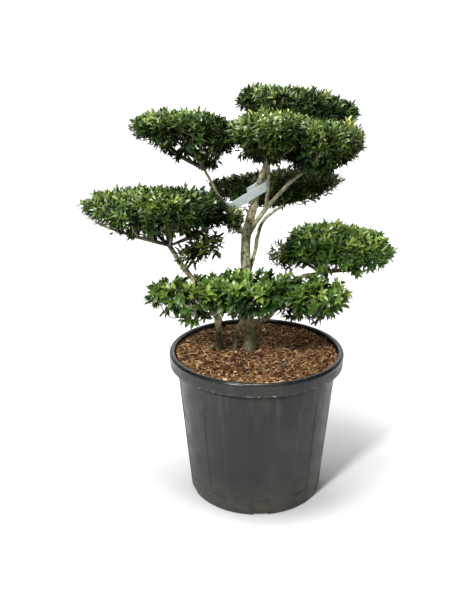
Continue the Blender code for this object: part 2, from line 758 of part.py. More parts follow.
class Growth:
    """The twigs and leaves of one pad. They branch from one stem that goes on from its bough's tip."""

    def __init__(self, pad, limbs, clearances):
        self.pad = pad
        self.core = core_of(pad)
        self.clearances = clearances
        self.rng = random.Random(pad.name)
        self.bough = limbs[pad.bough]
        course = limb_course(self.bough, limbs)
        self.apex = course[-1]
        self.way = directions(course)[-1]
        self.heart = Vector(pad.centre)
        self.foot = self.apex + self.way * GAP
        rise = self.heart - self.foot
        self.crotch = self.foot + CROTCH * (rise + self.way * rise.length) / 2
        self.turn = self.rng.uniform(0, 360)
        self.pieces = []

    def stem(self):
        course = [self.foot, self.crotch, self.crotch.lerp(self.heart, STEM_END)]
        radii = [self.bough.thin, self.bough.thin, RIB_RADIUS]
        self.pieces.append(tube_shape(course, radii, 5, self.way))

    def ribs(self):
        """Bare twigs that fan out from the crotch under the core and into it."""
        for k in range(self.pad.ribs):
            azimuth = self.turn + 360 * k / self.pad.ribs + self.rng.uniform(-RIB_WANDER, RIB_WANDER)
            end = self.heart.lerp(envelope(self.core, self.apex, azimuth, RIB_TILT), RIB_END)
            steps = [self.crotch.lerp(end, t / RIB_STEPS) for t in range(1, RIB_STEPS)]
            if min(self.clearances.to_limbs(step) for step in steps) > RIB_RADIUS + LIMB_CLEARANCE:
                self.pieces.append(tube_shape([self.crotch, end], [RIB_RADIUS, TWIG_RADIUS], 4))

    def leaf(self, root, tip, flat_way):
        points, faces = leaf_shape(root, tip, flat_way)
        if self.clearances.allows(self.pad, points + [root.lerp(tip, along) for along in TESTED]):
            self.pieces.append((points, faces))

    def single(self, tip, outward, sideways, length):
        """A leaf that lies as far over as it can with its root still in the core."""
        for lean in LEANS:
            growth = (outward + lean * sideways).normalized()
            root = tip - growth * length
            if share_out(self.core, self.apex, root) < ROOTED:
                break
        self.leaf(root, tip, outward)

    def shoot(self, tip, outward, sideways, length):
        """A twig with one leaf on its end and one on either side."""
        growth = (outward + SHOOT_LEAN * sideways).normalized()
        fork = tip - growth * length * SHOOT_FORK
        if not self.clearances.allows(self.pad, [fork], TWIG_RADIUS):
            return
        back = fork.lerp(self.heart, SHOOT_ROOTED) if self.pad.dense else self.crotch
        end = fork + 2 * TWIG_RADIUS * growth
        self.pieces.append(tube_shape([back, end], [TWIG_RADIUS, TWIG_TIP_RADIUS], 3))
        self.leaf(fork, tip, sideways)
        ahead, across = SIDE_SPREAD
        for side in (-1, 1):
            spread = (growth * ahead + growth.cross(sideways) * side * across).normalized()
            root = fork - growth * TWIG_RADIUS
            self.leaf(root, root + spread * length * SIDE_LEAF, sideways)

    def leaves(self):
        """A spiral of leaves and shoots down the pad, at even spacing on its surface."""
        pad, rng = self.pad, self.rng
        shoots = pad.leaves // LEAVES_PER_SHOOT
        if pad.dense:
            shoots //= SHOOT_SHARE
        total = shoots + (pad.leaves - shoots * LEAVES_PER_SHOOT if pad.dense else 0)
        golden = 180 * (3 - math.sqrt(5))
        for k in range(total):
            tilt = SPIRAL_END * math.degrees(math.asin(1 - 2 * (k + 0.5) / total))
            place = envelope(pad, self.apex, golden * k + self.turn, tilt)
            for reach in REACHES:
                tip = self.heart.lerp(place, reach)
                if self.clearances.allows(pad, [tip]):
                    break
            outward = (tip - self.heart.lerp(self.apex, FAN_CENTRE)).normalized()
            outward = (outward + Vector((0, 0, math.sin(math.radians(tilt))))).normalized()
            scatter = Vector([rng.uniform(-1, 1) for _ in range(3)])
            sideways = (scatter - outward * scatter.dot(outward)).normalized()
            length = LEAF_LENGTH * rng.uniform(*LENGTHS)
            if k * shoots // total == (k + 1) * shoots // total:
                self.single(tip, outward, sideways, length)
            else:
                self.shoot(tip, outward, sideways, length)


def foliage(pad, limbs, clearances, finish):
    """A pad's core, and the twigs and leaves that stand out of it, fused into one solid."""
    growth = Growth(pad, limbs, clearances)
    growth.stem()
    growth.ribs()
    growth.leaves()
    if pad.dense:
        made = mesh_object(pad.name, *core_shape(growth.core, growth.apex), finish)
        course = limb_course(growth.bough, limbs)
        wide = [radius + LIMB_CLEARANCE for radius in limb_radii(growth.bough, course)]
        course.append(growth.apex + growth.way * LIMB_CLEARANCE)
        wide.append(wide[-1])
        combine(made, [mesh_object("cutter", *tube_shape(course, wide, 6))], "DIFFERENCE")
    else:
        made = mesh_object(pad.name, *growth.pieces.pop(0), finish)
    fuse(made, growth.pieces)
    return made


# ---------------------------------------------------------------- label

def label(limbs):
    """A strip whose front leg lies against the trunk, and which turns back round it."""
    trunk = limbs["trunk"]
    course = limb_course(trunk, limbs)
    index = min(range(len(course)), key=lambda k: abs(course[k].z - LABEL_HEIGHT))
    axis, radius = course[index], limb_radii(trunk, course)[index]
    run = (Vector(LABEL_FREE_END) - axis).normalized()
    way = directions(course)[index]
    up = (way - run * way.dot(run)).normalized()
    front = run.cross(up).normalized()
    if front.y > 0:
        front.negate()
    gap = radius + 2 * GAP + LABEL_THICKNESS / 2
    lean = LABEL_WIDTH / 2 * abs(way.dot(run)) / way.dot(up) + radius
    free = (Vector(LABEL_FREE_END) - axis).dot(run)
    course = [(free, gap), (free * 0.5, gap), (-lean, gap)]
    for k in range(1, LABEL_BENDS + 1):
        angle = math.pi * k / LABEL_BENDS
        course.append((-lean - gap * math.sin(angle), gap * math.cos(angle)))
    course.append((LABEL_BACK_LEG, -gap))
    half = LABEL_THICKNESS / 2
    points = []
    faces = []
    for k, (along, out) in enumerate(course):
        before, after = course[max(k - 1, 0)], course[min(k + 1, len(course) - 1)]
        tangent = Vector((after[0] - before[0], after[1] - before[1])).normalized()
        normal = Vector((-tangent.y, tangent.x))
        for thick, high in ((-1, -1), (1, -1), (1, 1), (-1, 1)):
            a = along + normal.x * half * thick
            o = out + normal.y * half * thick
            points.append(axis + run * a + front * o + up * high * LABEL_WIDTH / 2)
    for k in range(len(course) - 1):
        for side in range(4):
            a, b = 4 * k + side, 4 * k + (side + 1) % 4
            faces.append((a, b, b + 4, a + 4))
    faces.append((3, 2, 1, 0))
    faces.append(tuple(range(len(points) - 4, len(points))))
    made = mesh_object("label", points, faces, material("label_film", LABEL, 0.5))
    shape = bmesh.new()
    shape.from_mesh(made.data)
    bmesh.ops.recalc_face_normals(shape, faces=shape.faces)
    shape.to_mesh(made.data)
    shape.free()
    return made


def main():
    clear_scene()
    pot()
    soil()
    limbs = {limb.name: limb for limb in LIMBS}
    bark = material("bark", BARK, 0.85)
    for limb in LIMBS:
        limb_solid(limb, limbs, bark)
    clearances = Clearances(limbs)
    leaf = material("leaf", FOLIAGE, 0.4)
    for pad in PADS:
        foliage(pad, limbs, clearances, leaf)
    label(limbs)


main()
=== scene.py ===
"""The looks of a cloud-pruned evergreen shrub in its black nursery pot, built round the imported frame.

The foliage grows by the same rule as in the solids: a stem goes on from the tip of each bough, parts into
ribs under its pad, and these branch on to shoots that end on the pad's outer surface. Here that goes on to
fine twigs and leaves of nearly their real size. The limbs get their bark, the pot its moulded wall and rim,
and the mulch its chips. Metres, +Z up. The front of the plant faces -Y.
"""
import json
from math import cos, exp, hypot, pi, radians, sin, sqrt, tau
from typing import NamedTuple

import bpy
import numpy as np
from mathutils import Matrix, Vector, noise

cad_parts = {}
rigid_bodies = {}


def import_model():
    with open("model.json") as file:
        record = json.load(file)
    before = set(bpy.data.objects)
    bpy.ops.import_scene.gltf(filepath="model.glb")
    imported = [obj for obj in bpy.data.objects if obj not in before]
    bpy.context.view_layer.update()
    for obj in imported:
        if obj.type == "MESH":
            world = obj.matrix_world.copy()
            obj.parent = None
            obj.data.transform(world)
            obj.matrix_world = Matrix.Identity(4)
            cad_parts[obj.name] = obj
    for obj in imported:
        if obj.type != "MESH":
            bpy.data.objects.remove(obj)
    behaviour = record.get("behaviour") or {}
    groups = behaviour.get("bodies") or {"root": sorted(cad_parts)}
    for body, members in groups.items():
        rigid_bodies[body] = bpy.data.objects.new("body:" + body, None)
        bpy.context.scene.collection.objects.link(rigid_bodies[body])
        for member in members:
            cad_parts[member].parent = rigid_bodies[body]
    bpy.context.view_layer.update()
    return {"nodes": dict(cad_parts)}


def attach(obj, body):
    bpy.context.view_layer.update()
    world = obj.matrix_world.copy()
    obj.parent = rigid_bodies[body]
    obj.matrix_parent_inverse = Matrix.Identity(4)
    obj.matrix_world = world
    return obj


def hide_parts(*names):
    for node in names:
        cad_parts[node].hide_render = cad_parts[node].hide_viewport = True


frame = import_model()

# ---- limbs, as in the solids ----
GAP = 0.0003
SOIL_LEVEL = 0.4150
ROOT_FLARE = 0.24
FLARE_HEIGHT = 0.030
TAPER_POWER = 1.6
STEP_LENGTH = 0.032
FEWEST_STEPS = 5


class Limb(NamedTuple):
    """A tapering stem or bough. It starts on the soil, or on its parent where that reaches a height."""

    name: str
    parent: str
    start: tuple
    thick: float
    thin: float
    course: tuple


LIMBS = (
    Limb("trunk", "", (-0.017, 0.022), 0.0168, 0.0044, (
        (-0.027, 0.025, 0.566), (-0.032, 0.030, 0.735), (-0.010, 0.040, 0.837), (0.020, 0.060, 0.940),
        (0.058, 0.128, 1.026))),
    Limb("stem_left", "", (-0.107, 0.020), 0.0098, 0.0070, (
        (-0.109, 0.015, 0.485), (-0.122, 0.006, 0.545), (-0.153, 0.000, 0.603), (-0.205, -0.009, 0.672),
        (-0.234, -0.024, 0.728))),
    Limb("stem_middle", "", (-0.062, 0.018), 0.0074, 0.0044, (
        (-0.053, 0.008, 0.480), (-0.040, -0.018, 0.520), (-0.026, -0.060, 0.556))),
    Limb("bough_right_low", "trunk", (0.478,), 0.0082, 0.0050, (
        (0.033, 0.040, 0.510), (0.075, 0.050, 0.565), (0.118, 0.046, 0.625), (0.170, 0.030, 0.645))),
    Limb("bough_back", "trunk", (0.640,), 0.0058, 0.0040, (
        (-0.007, 0.042, 0.702), (0.000, 0.050, 0.745), (0.014, 0.067, 0.783), (0.046, 0.096, 0.808),
        (0.074, 0.122, 0.820))),
    Limb("bough_left_high", "trunk", (0.742,), 0.0058, 0.0040, (
        (-0.076, 0.035, 0.815), (-0.098, 0.040, 0.847), (-0.140, 0.052, 0.920))),
    Limb("bough_right_high", "trunk", (0.762,), 0.0070, 0.0038, (
        (0.007, 0.024, 0.809), (0.041, 0.010, 0.854), (0.093, -0.010, 0.914), (0.138, -0.034, 0.950))),
    Limb("bough_top_front", "bough_right_high", (0.832,), 0.0056, 0.0040, (
        (0.026, 0.006, 0.872), (0.029, -0.018, 0.925), (0.027, -0.042, 0.960))),
    Limb("bough_left_low", "stem_left", (0.500,), 0.0052, 0.0038, (
        (-0.102, -0.016, 0.525), (-0.122, -0.050, 0.550), (-0.155, -0.082, 0.566))),
    Limb("bough_front_right", "bough_right_low", (0.540,), 0.0048, 0.0036, (
        (0.090, 0.010, 0.552), (0.124, -0.040, 0.556))),
    Limb("twig_left", "stem_left", (0.664,), 0.0038, 0.0028, (
        (-0.185, -0.026, 0.682), (-0.166, -0.044, 0.712))),
    Limb("twig_middle", "trunk", (0.812,), 0.0034, 0.0026, (
        (-0.032, 0.016, 0.830), (-0.047, -0.006, 0.824))),
    Limb("twig_right", "bough_right_low", (0.618,), 0.0034, 0.0026, (
        (0.098, 0.036, 0.646), (0.086, 0.034, 0.680))),
)
LIMB = {limb.name: limb for limb in LIMBS}


class Pad(NamedTuple):
    """One mass of foliage: a low dome over a shallow inverted cone, down to the tip of its bough."""

    name: str
    bough: str
    centre: tuple  # of its widest level
    reach: tuple  # half its width and half its depth
    rise: float
    drop: float
    ribs: int
    slope: float = 0.0  # how much its level climbs with x
    dome: float = 2.4  # power of its upper outline; 2 is an ellipse, more is boxier
    under: float = 1.65  # power of its underside; 1 is a cone
    lean: float = 0.8  # how far the underside leans towards the tip of the bough
    leaf: float = 0.0195  # usual length of a leaf
    width: float = 0.33  # of a leaf, as a share of its length
    spacing: float = 0.0122  # between the tips of shoots on top
    gaps: float = 0.46  # share of its underside that is open
    airy: float = 0.0  # share of the rest of it that is open
    bare: float = 0.26  # share of its reach, round its bough, where the ribs show
    bare_front: float = 0.16  # how far that part lies towards the front, as a share of its reach
    droop: float = 0.0  # how far all its leaves hang
    light: float = 0.0  # how much lighter or darker all its greens are
    red: float = 1.0  # of the red in its greens, less for a purer green
    fresh_side: float = 0.0  # towards +X where positive, towards -X where negative
    lump: float = 0.07  # how uneven its surface is


PADS = (
    Pad("top_back", "trunk", (0.114, 0.172, 1.098), (0.185, 0.120), 0.050, 0.062, 7,
        slope=-0.135, dome=2.05, light=-0.19, fresh_side=0.1),
    Pad("top_front", "bough_top_front", (0.030, -0.080, 1.042), (0.109, 0.120), 0.054, 0.092, 6,
        dome=3.0, gaps=0.22, light=-0.06),
    Pad("top_right", "bough_right_high", (0.167, -0.072, 1.022), (0.108, 0.114), 0.054, 0.088, 6,
        slope=-0.04, dome=3.0, under=2.1, gaps=0.1, light=-0.07, fresh_side=0.16),
    Pad("top_left", "bough_left_high", (-0.204, 0.060, 1.040), (0.152, 0.124), 0.052, 0.124, 7,
        slope=-0.03, under=1.35, lean=1.25, light=-0.17, fresh_side=-0.1),
    Pad("middle_back", "bough_back", (0.049, 0.222, 0.866), (0.208, 0.112), 0.042, 0.052, 7,
        slope=0.08, dome=2.8, under=1.5, light=-0.1, fresh_side=0.2),
    Pad("left", "stem_left", (-0.276, -0.050, 0.846), (0.204, 0.146), 0.055, 0.096, 8,
        under=1.75, bare=0.42, bare_front=0.35, leaf=0.0215, spacing=0.0132, light=-0.14, fresh_side=-0.22),
    Pad("left_tuft", "twig_left", (-0.148, -0.058, 0.754), (0.076, 0.058), 0.042, 0.050, 5,
        slope=0.35, leaf=0.0245, spacing=0.023, gaps=0.55, airy=0.46, droop=0.35, light=-0.06),
    Pad("middle_tuft", "twig_middle", (-0.066, -0.030, 0.818), (0.036, 0.036), 0.036, 0.044, 3,
        spacing=0.016, light=0.12),
    Pad("right", "bough_right_low", (0.232, 0.030, 0.725), (0.157, 0.134), 0.064, 0.110, 8,
        slope=-0.08, under=1.7, bare=0.7, bare_front=0.45, leaf=0.024, spacing=0.0145, light=0.09,
        fresh_side=0.2, red=0.82),
    Pad("right_tuft", "twig_right", (0.084, 0.030, 0.710), (0.058, 0.048), 0.054, 0.066, 4,
        slope=0.1, spacing=0.018, airy=0.36, droop=0.1, light=-0.08),
    Pad("low_left", "bough_left_low", (-0.170, -0.120, 0.632), (0.128, 0.102), 0.046, 0.118, 6,
        slope=0.08, dome=3.0, under=1.35, leaf=0.022, width=0.46, spacing=0.015, gaps=0.5, airy=0.6,
        droop=0.1, light=0.01, red=0.82),
    Pad("low_middle", "stem_middle", (-0.018, -0.132, 0.644), (0.132, 0.110), 0.052, 0.108, 6,
        dome=3.4, leaf=0.022, width=0.46, spacing=0.0146, gaps=0.52, airy=0.48, droop=0.1, red=0.82),
    Pad("low_right", "bough_front_right", (0.143, -0.120, 0.628), (0.112, 0.102), 0.054, 0.102, 6,
        slope=-0.02, dome=3.0, leaf=0.022, width=0.44, spacing=0.0146, gaps=0.48, airy=0.5, droop=0.1,
        light=0.02, fresh_side=0.3, red=0.82),
)
LUMPS_PER_UNIT = 2.6  # of the noise that makes pads uneven
LUMPS_APART = 9  # so that no two pads are uneven in the same way
SITE_TRIES = 3.2  # places tried on a surface over those it would have room for
CROTCH = 0.08  # where the ribs part, as a share of the way from the bough's tip to the pad's centre
LEADER_SHARE = 0.5  # how far towards the top the middle rib reaches
RIB_SHARE = (0.76, 0.96)  # how near the underside the other ribs run

# ---- shoots and leaves ----
LEAVES_ON_SHOOT = 12
LEAF_OPENING = (68, 36)  # degrees from the shoot at its base, and how many fewer at its tip
LEAF_SIZE = (0.80, 0.34, 0.09)  # least share of the usual length, what adds to it up the shoot, and spread
LEAF_WIDTHS = (0.88, 1.12)
LEAF_CURLS = (0.06, 0.42)
LEAF_FOLDS = (0.10, 0.42)
INNER_SHARE = (0.50, 0.84)  # how far out the inner shoots end
INNER_SPACING = 1.55  # of the spacing on top
UNDER_SPACING = 1.6  # of the spacing on top, on the underside
SHOOT_LENGTH = (0.030, 0.052)
PATCHES_PER_METRE = 22  # of open and fresher places
SHOOT_WANDER = 0.28
OUTWARDS, SIDEWAYS, UPWARDS, TURNED_DOWN = 0.55, 0.55, 0.85, 0.95  # what gives a shoot its way
TONE = 0.40  # at a pad's middle level, from 0 for the darkest green to 1 for the freshest
TONE_OF_HEIGHT = (0.12, 0.20)  # with the height and with its square: fresher new growth on top, darker lower down, partly painted light and shade from above
TONE_OF_EDGE = 0.06
TONE_OF_PATCH = 0.22
TONE_SPREAD = 0.12
TONE_INSIDE = 0.38  # how much darker the inner shoots are: partly older leaves, partly painted shade of the pad's inside
STRAY = 0.014  # how far single shoots stand out of the clipped outline
STRAY_SHARE = 0.22
NEIGHBOUR_REACH = 2.4  # shoots with too few others within this many spacings are left out
FEWEST_NEIGHBOURS = 5
DROOP_UNDER = 0.45  # how far the leaves of the underside hang
GOLDEN = pi * (3 - sqrt(5))
SHOOT_RADIUS = 0.00090
ROUND_TWIG = 0.0019  # radius from which a twig has six sides, not three
PIPE_POWER = 0.41  # a twig's radius grows with the number of shoots beyond it to this power
TRAVEL_WEIGHT, ABOVE_WEIGHT = 0.28, 0.9  # against the gap, in the choice of where a twig branches off
LIMB_CLEARANCE = 0.003

GREENS = (  # from the inside out to the newest tips: colour, roughness and gloss; the near-black inner greens are partly painted shade
    ("leaf_deep", (0.005, 0.011, 0.002), 0.70, 0.04),
    ("leaf_dark", (0.012, 0.028, 0.005), 0.60, 0.10),
    ("leaf_green", (0.035, 0.071, 0.011), 0.46, 0.30),
    ("leaf_mid", (0.073, 0.124, 0.018), 0.37, 0.50),
    ("leaf_fresh", (0.148, 0.211, 0.031), 0.36, 0.56),
    ("leaf_new", (0.296, 0.346, 0.062), 0.38, 0.54),
)

# ---- pot, as in the solids ----
POT_HEIGHT = 0.431
RIM_RADIUS = 0.250
RIM_WIDTH = 0.0155
RIM_ROLL = 0.006
RIM_BEVEL = 0.0080
RIM_DEPTH = 0.039
SKIRT_THICK = 0.0048
SKIRT_TAPER = 0.0016
SKIRT_TOP = 0.026
WALL_TOP_RADIUS = 0.2290
WALL_FOOT_RADIUS = 0.1960
WALL_FOOT = 0.030
WALL = 0.0035
LIP_RADIUS = 0.2332
LIP_FOOT = 0.4020
FOOT_RADIUS = 0.188
FOOT_ROUND = 0.006
FOOT_RING_WIDTH = 0.016
CENTRE_PAD_RADIUS = 0.050
DRAFT = 0.003
FLOOR_UNDER = 0.010
FLOOR_TOP = 0.014
STAND = 0.0002  # keeps the underside just off the floor
PANELS = 10
PITCH = 360 / PANELS
HALF_PANEL = 0.22 * PITCH
PANEL_ARCH = 0.006  # how much lower a panel's top is at its sides
PANEL_END = 0.003  # height over which its ends set back
PANEL_RECESS = 0.0022
PANEL_RAMP = 1.3  # degrees over which a panel's edge sets back
PITCH_STEPS = 32
PANEL_SPAN = (0.046, 0.332)
FIRST_PANEL_AZIMUTH = 4.4
NOTCHES = 5
NOTCH_SIZE = (0.043, 0.050, 0.0092)
SQUARE = ((-1, -1), (1, -1), (1, 1), (-1, 1))
DRAIN_HOLE_RADIUS = 0.008
DRAIN_HOLE_RING = 0.125
SOIL_EDGE = 0.4170

# ---- camera ----
CAMERA_PLACE = (0.0, -1.87, 1.20)
CAMERA_DOWN = 18.5
CAMERA_TURN = 1.66
LENS = 42
SENSOR_HEIGHT = 36


# ---- meshes and materials ----

def linked(name, data):
    """A new object in the scene."""
    obj = bpy.data.objects.new(name, data)
    bpy.context.scene.collection.objects.link(obj)
    return obj


def closed_tube(rows, sides):
    """The faces between rows of points round a tube, and the two that close it."""
    faces = []
    for start in range(0, (rows - 1) * sides, sides):
        for k in range(sides):
            a, b = start + k, start + (k + 1) % sides
            faces.append((a, b, b + sides, a + sides))
    return [*faces, tuple(reversed(range(sides))), tuple(range((rows - 1) * sides, rows * sides))]


def apply_modifiers(obj):
    """Put what the modifiers make of the mesh in its place."""
    made = bpy.data.meshes.new_from_object(obj.evaluated_get(bpy.context.evaluated_depsgraph_get()))
    before, obj.data = obj.data, made
    obj.modifiers.clear()
    bpy.data.meshes.remove(before)
    made.name = obj.name


def mesh_piece(name, points, faces, materials=(), slots=None, smooth=True):
    """A mesh object in the scene."""
    mesh = bpy.data.meshes.new(name)
    mesh.from_pydata(np.reshape(points, (-1, 3)), [], faces)
    mesh.polygons.foreach_set("use_smooth", [smooth] * len(faces))
    for made in materials:
        mesh.materials.append(made)
    if slots is not None:
        mesh.polygons.foreach_set("material_index", slots)
    return linked(name, mesh)


def put(node, values):
    """Set inputs of a node by their names."""
    for name, value in values.items():
        node.inputs[name].default_value = value
    return node


def principled(name, values):
    """A material and its shader."""
    made = bpy.data.materials.new(name)
    made.use_nodes = True
    return made, put(made.node_tree.nodes["Principled BSDF"], values)


def plain_material(name, colour, roughness, specular=0.5):
    values = {"Base Color": (*colour, 1), "Roughness": roughness, "Specular IOR Level": specular}
    return principled(name, values)[0]


class Nodes:
    """Builds a procedural material on the object's own coordinates."""

    def __init__(self, name, roughness, specular=0.5):
        values = {"Roughness": roughness, "Specular IOR Level": specular}
        self.material, self.shader = principled(name, values)
        self.tree = self.material.node_tree
        self.place = self.new("TexCoord").outputs["Object"]

    def new(self, kind, values=()):
        return put(self.tree.nodes.new("ShaderNode" + kind), dict(values))

    def link(self, source, target):
        self.tree.links.new(source, target)

    def texture(self, kind, stretch, values):
        made = self.new("Tex" + kind, values)
        source = self.place
        if stretch:
            mapping = self.new("Mapping", {"Scale": stretch})
            self.link(source, mapping.inputs["Vector"])
            source = mapping.outputs["Vector"]
        self.link(source, made.inputs["Vector"])
        return made

    def noise(self, scale, detail=3.0, stretch=None):
        return self.texture("Noise", stretch, {"Scale": scale, "Detail": detail}).outputs["Fac"]

    def cells(self, scale):
        return self.texture("Voronoi", None, {"Scale": scale}).outputs["Distance"]

    def height(self):
        split = self.new("SeparateXYZ")
        self.link(self.place, split.inputs["Vector"])
        return split.outputs["Z"]

    def ramp(self, source, *stops):
        made = self.new("ValToRGB")
        elements = made.color_ramp.elements
        while len(elements) < len(stops):
            elements.new(0.5)
        for element, (at, colour) in zip(elements, stops):
            element.position = at
            element.color = (*colour, 1)
        self.link(source, made.inputs["Fac"])
        return made.outputs["Color"]

    def span(self, source, low, high, to_low=0.0, to_high=1.0):
        values = {"From Min": low, "From Max": high, "To Min": to_low, "To Max": to_high}
        made = self.new("MapRange", values)
        made.interpolation_type = "SMOOTHSTEP"
        self.link(source, made.inputs["Value"])
        return made.outputs["Result"]

    def layers(self, colour, *coats):
        """The colour under coats of others, each laid on by its share."""
        for share, coat in coats:
            made = self.new("Mix")
            made.data_type = "RGBA"
            sockets = {socket.name: socket for socket in made.inputs if socket.enabled}
            self.link(share, sockets["Factor"])
            self.link(colour, sockets["A"])
            sockets["B"].default_value = (*coat, 1)
            colour = next(socket for socket in made.outputs if socket.enabled)
        return colour

    def times(self, first, second):
        made = self.new("Math")
        made.operation = "MULTIPLY"
        self.link(first, made.inputs[0])
        self.link(second, made.inputs[1])
        return made.outputs["Value"]

    def bump(self, source, distance, below=None):
        made = self.new("Bump", {"Distance": distance})
        self.link(source, made.inputs["Height"])
        if below:
            self.link(below, made.inputs["Normal"])
        return made.outputs["Normal"]

    def finish(self, colour, normal=None, roughness=None):
        for source, name in ((colour, "Base Color"), (normal, "Normal"), (roughness, "Roughness")):
            if source:
                self.link(source, self.shader.inputs[name])
        return self.material


def place(piece, slot, *nodes):
    """The piece rides with the plant and stands for the nodes. The slot is not used."""
    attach(piece, "root")
    if nodes:
        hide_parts(*nodes)
    return piece


# ---- courses of limbs ----

def smooth_course(points, count):
    """Points at even steps along a Catmull-Rom curve through the given places."""
    places = [Vector(p) for p in points]
    places = [2 * places[0] - places[1], *places, 2 * places[-1] - places[-2]]
    spans = len(places) - 3
    course = []
    for step in range(count):
        at = spans * step / (count - 1)
        span = min(int(at), spans - 1)
        t = at - span
        a, b, c, d = places[span:span + 4]
        course.append(
            0.5 * (2 * b + (c - a) * t + (2 * a - 5 * b + 4 * c - d) * t ** 2
                   + (3 * b - a - 3 * c + d) * t ** 3)
        )
    return course


def limb_course(limb, step=STEP_LENGTH):
    """Points along the limb from its fork or foot."""
    if limb.parent:
        fork = min(limb_course(LIMB[limb.parent]), key=lambda p: abs(p.z - limb.start[0]))
    else:
        fork = Vector((*limb.start, SOIL_LEVEL + GAP))
    points = [fork, *map(Vector, limb.course)]
    length = sum((b - a).length for a, b in zip(points, points[1:]))
    return smooth_course(points, max(FEWEST_STEPS, round(length / step)))


def limb_radius(limb, share, height):
    radius = limb.thick + (limb.thin - limb.thick) * share ** TAPER_POWER
    if not limb.parent:
        radius *= 1 + ROOT_FLARE * exp(-(((height - SOIL_LEVEL) / FLARE_HEIGHT) ** 2))
    return radius


# ---- pads ----

class Surface:
    """The outer surface of a pad, and even places on it for shoots to end at."""

    AZIMUTHS = 72
    TILTS = 44
    FACING_DOWN = -0.25  # height of an outward way below which a place is on the underside

    def __init__(self, pad):
        self.pad = pad
        self.heart = Vector(pad.centre)
        self.apex = limb_course(LIMB[pad.bough])[-1]
        tilts = np.linspace(-89, 89, self.TILTS)
        azimuths = np.linspace(0, 360, self.AZIMUTHS + 1)
        self.grid = np.array([[self.envelope(a, t) for a in azimuths] for t in tilts])

    def envelope(self, azimuth, tilt):
        """Point on the surface. Tilt is -90 at the bottom, 0 at the widest level, 90 on top."""
        pad = self.pad
        up = sin(radians(tilt))
        out = cos(radians(tilt))
        power = pad.dome if up > 0 else pad.under
        flat = out ** (2 / power)
        v = abs(up) ** (2 / power)
        angle = radians(azimuth)
        direction = Vector((out * cos(angle), out * sin(angle), up))
        lumps_at = direction.normalized() * LUMPS_PER_UNIT + self.heart * LUMPS_APART
        swell = 1 + pad.lump * noise.noise(lumps_at)
        x = pad.reach[0] * flat * cos(angle) * swell
        y = pad.reach[1] * flat * sin(angle) * swell
        z = (pad.rise if up > 0 else -pad.drop) * v * swell
        if up < 0:
            shift = (self.apex - self.heart).to_2d() * v * pad.lean
            x += shift.x
            y += shift.y
        return self.heart + Vector((x, y, z + pad.slope * x))

    def sites(self, spacing, under, rng):
        """Places spread over the surface by area, no closer than the spacing, and their outward ways."""
        g = self.grid
        a, b, c, d = g[:-1, :-1], g[:-1, 1:], g[1:, 1:], g[1:, :-1]
        normal = np.cross(c - a, d - b).reshape(-1, 3)
        size = np.linalg.norm(normal, axis=1)
        normal /= size[:, None]
        wanted = int(SITE_TRIES * size.sum() / 2 / spacing ** 2)
        cells = rng.choice(len(size), wanted, p=size / size.sum())
        s, t = rng.random((2, wanted, 1))
        a, b, c, d = (corner.reshape(-1, 3)[cells] for corner in (a, b, c, d))
        points = (a * (1 - s) + b * s) * (1 - t) + (d * (1 - s) + c * s) * t
        normal = normal[cells]
        kept = []
        for k in range(wanted):
            room = spacing * (under if normal[k, 2] < self.FACING_DOWN else 1)
            if not kept or np.min(((points[kept] - points[k]) ** 2).sum(axis=1)) >= room ** 2:
                kept.append(k)
        return points[kept], normal[kept]


def unit(vectors):
    return vectors / np.maximum(np.linalg.norm(vectors, axis=-1, keepdims=True), 1e-9)


class Sprays(NamedTuple):
    """Leafy shoots: where each begins, its way and length, how light its green is, from fresh growth and
    painted shade, and how it droops.
    """

    bases: np.ndarray
    ways: np.ndarray
    lengths: np.ndarray
    tones: np.ndarray
    droops: np.ndarray


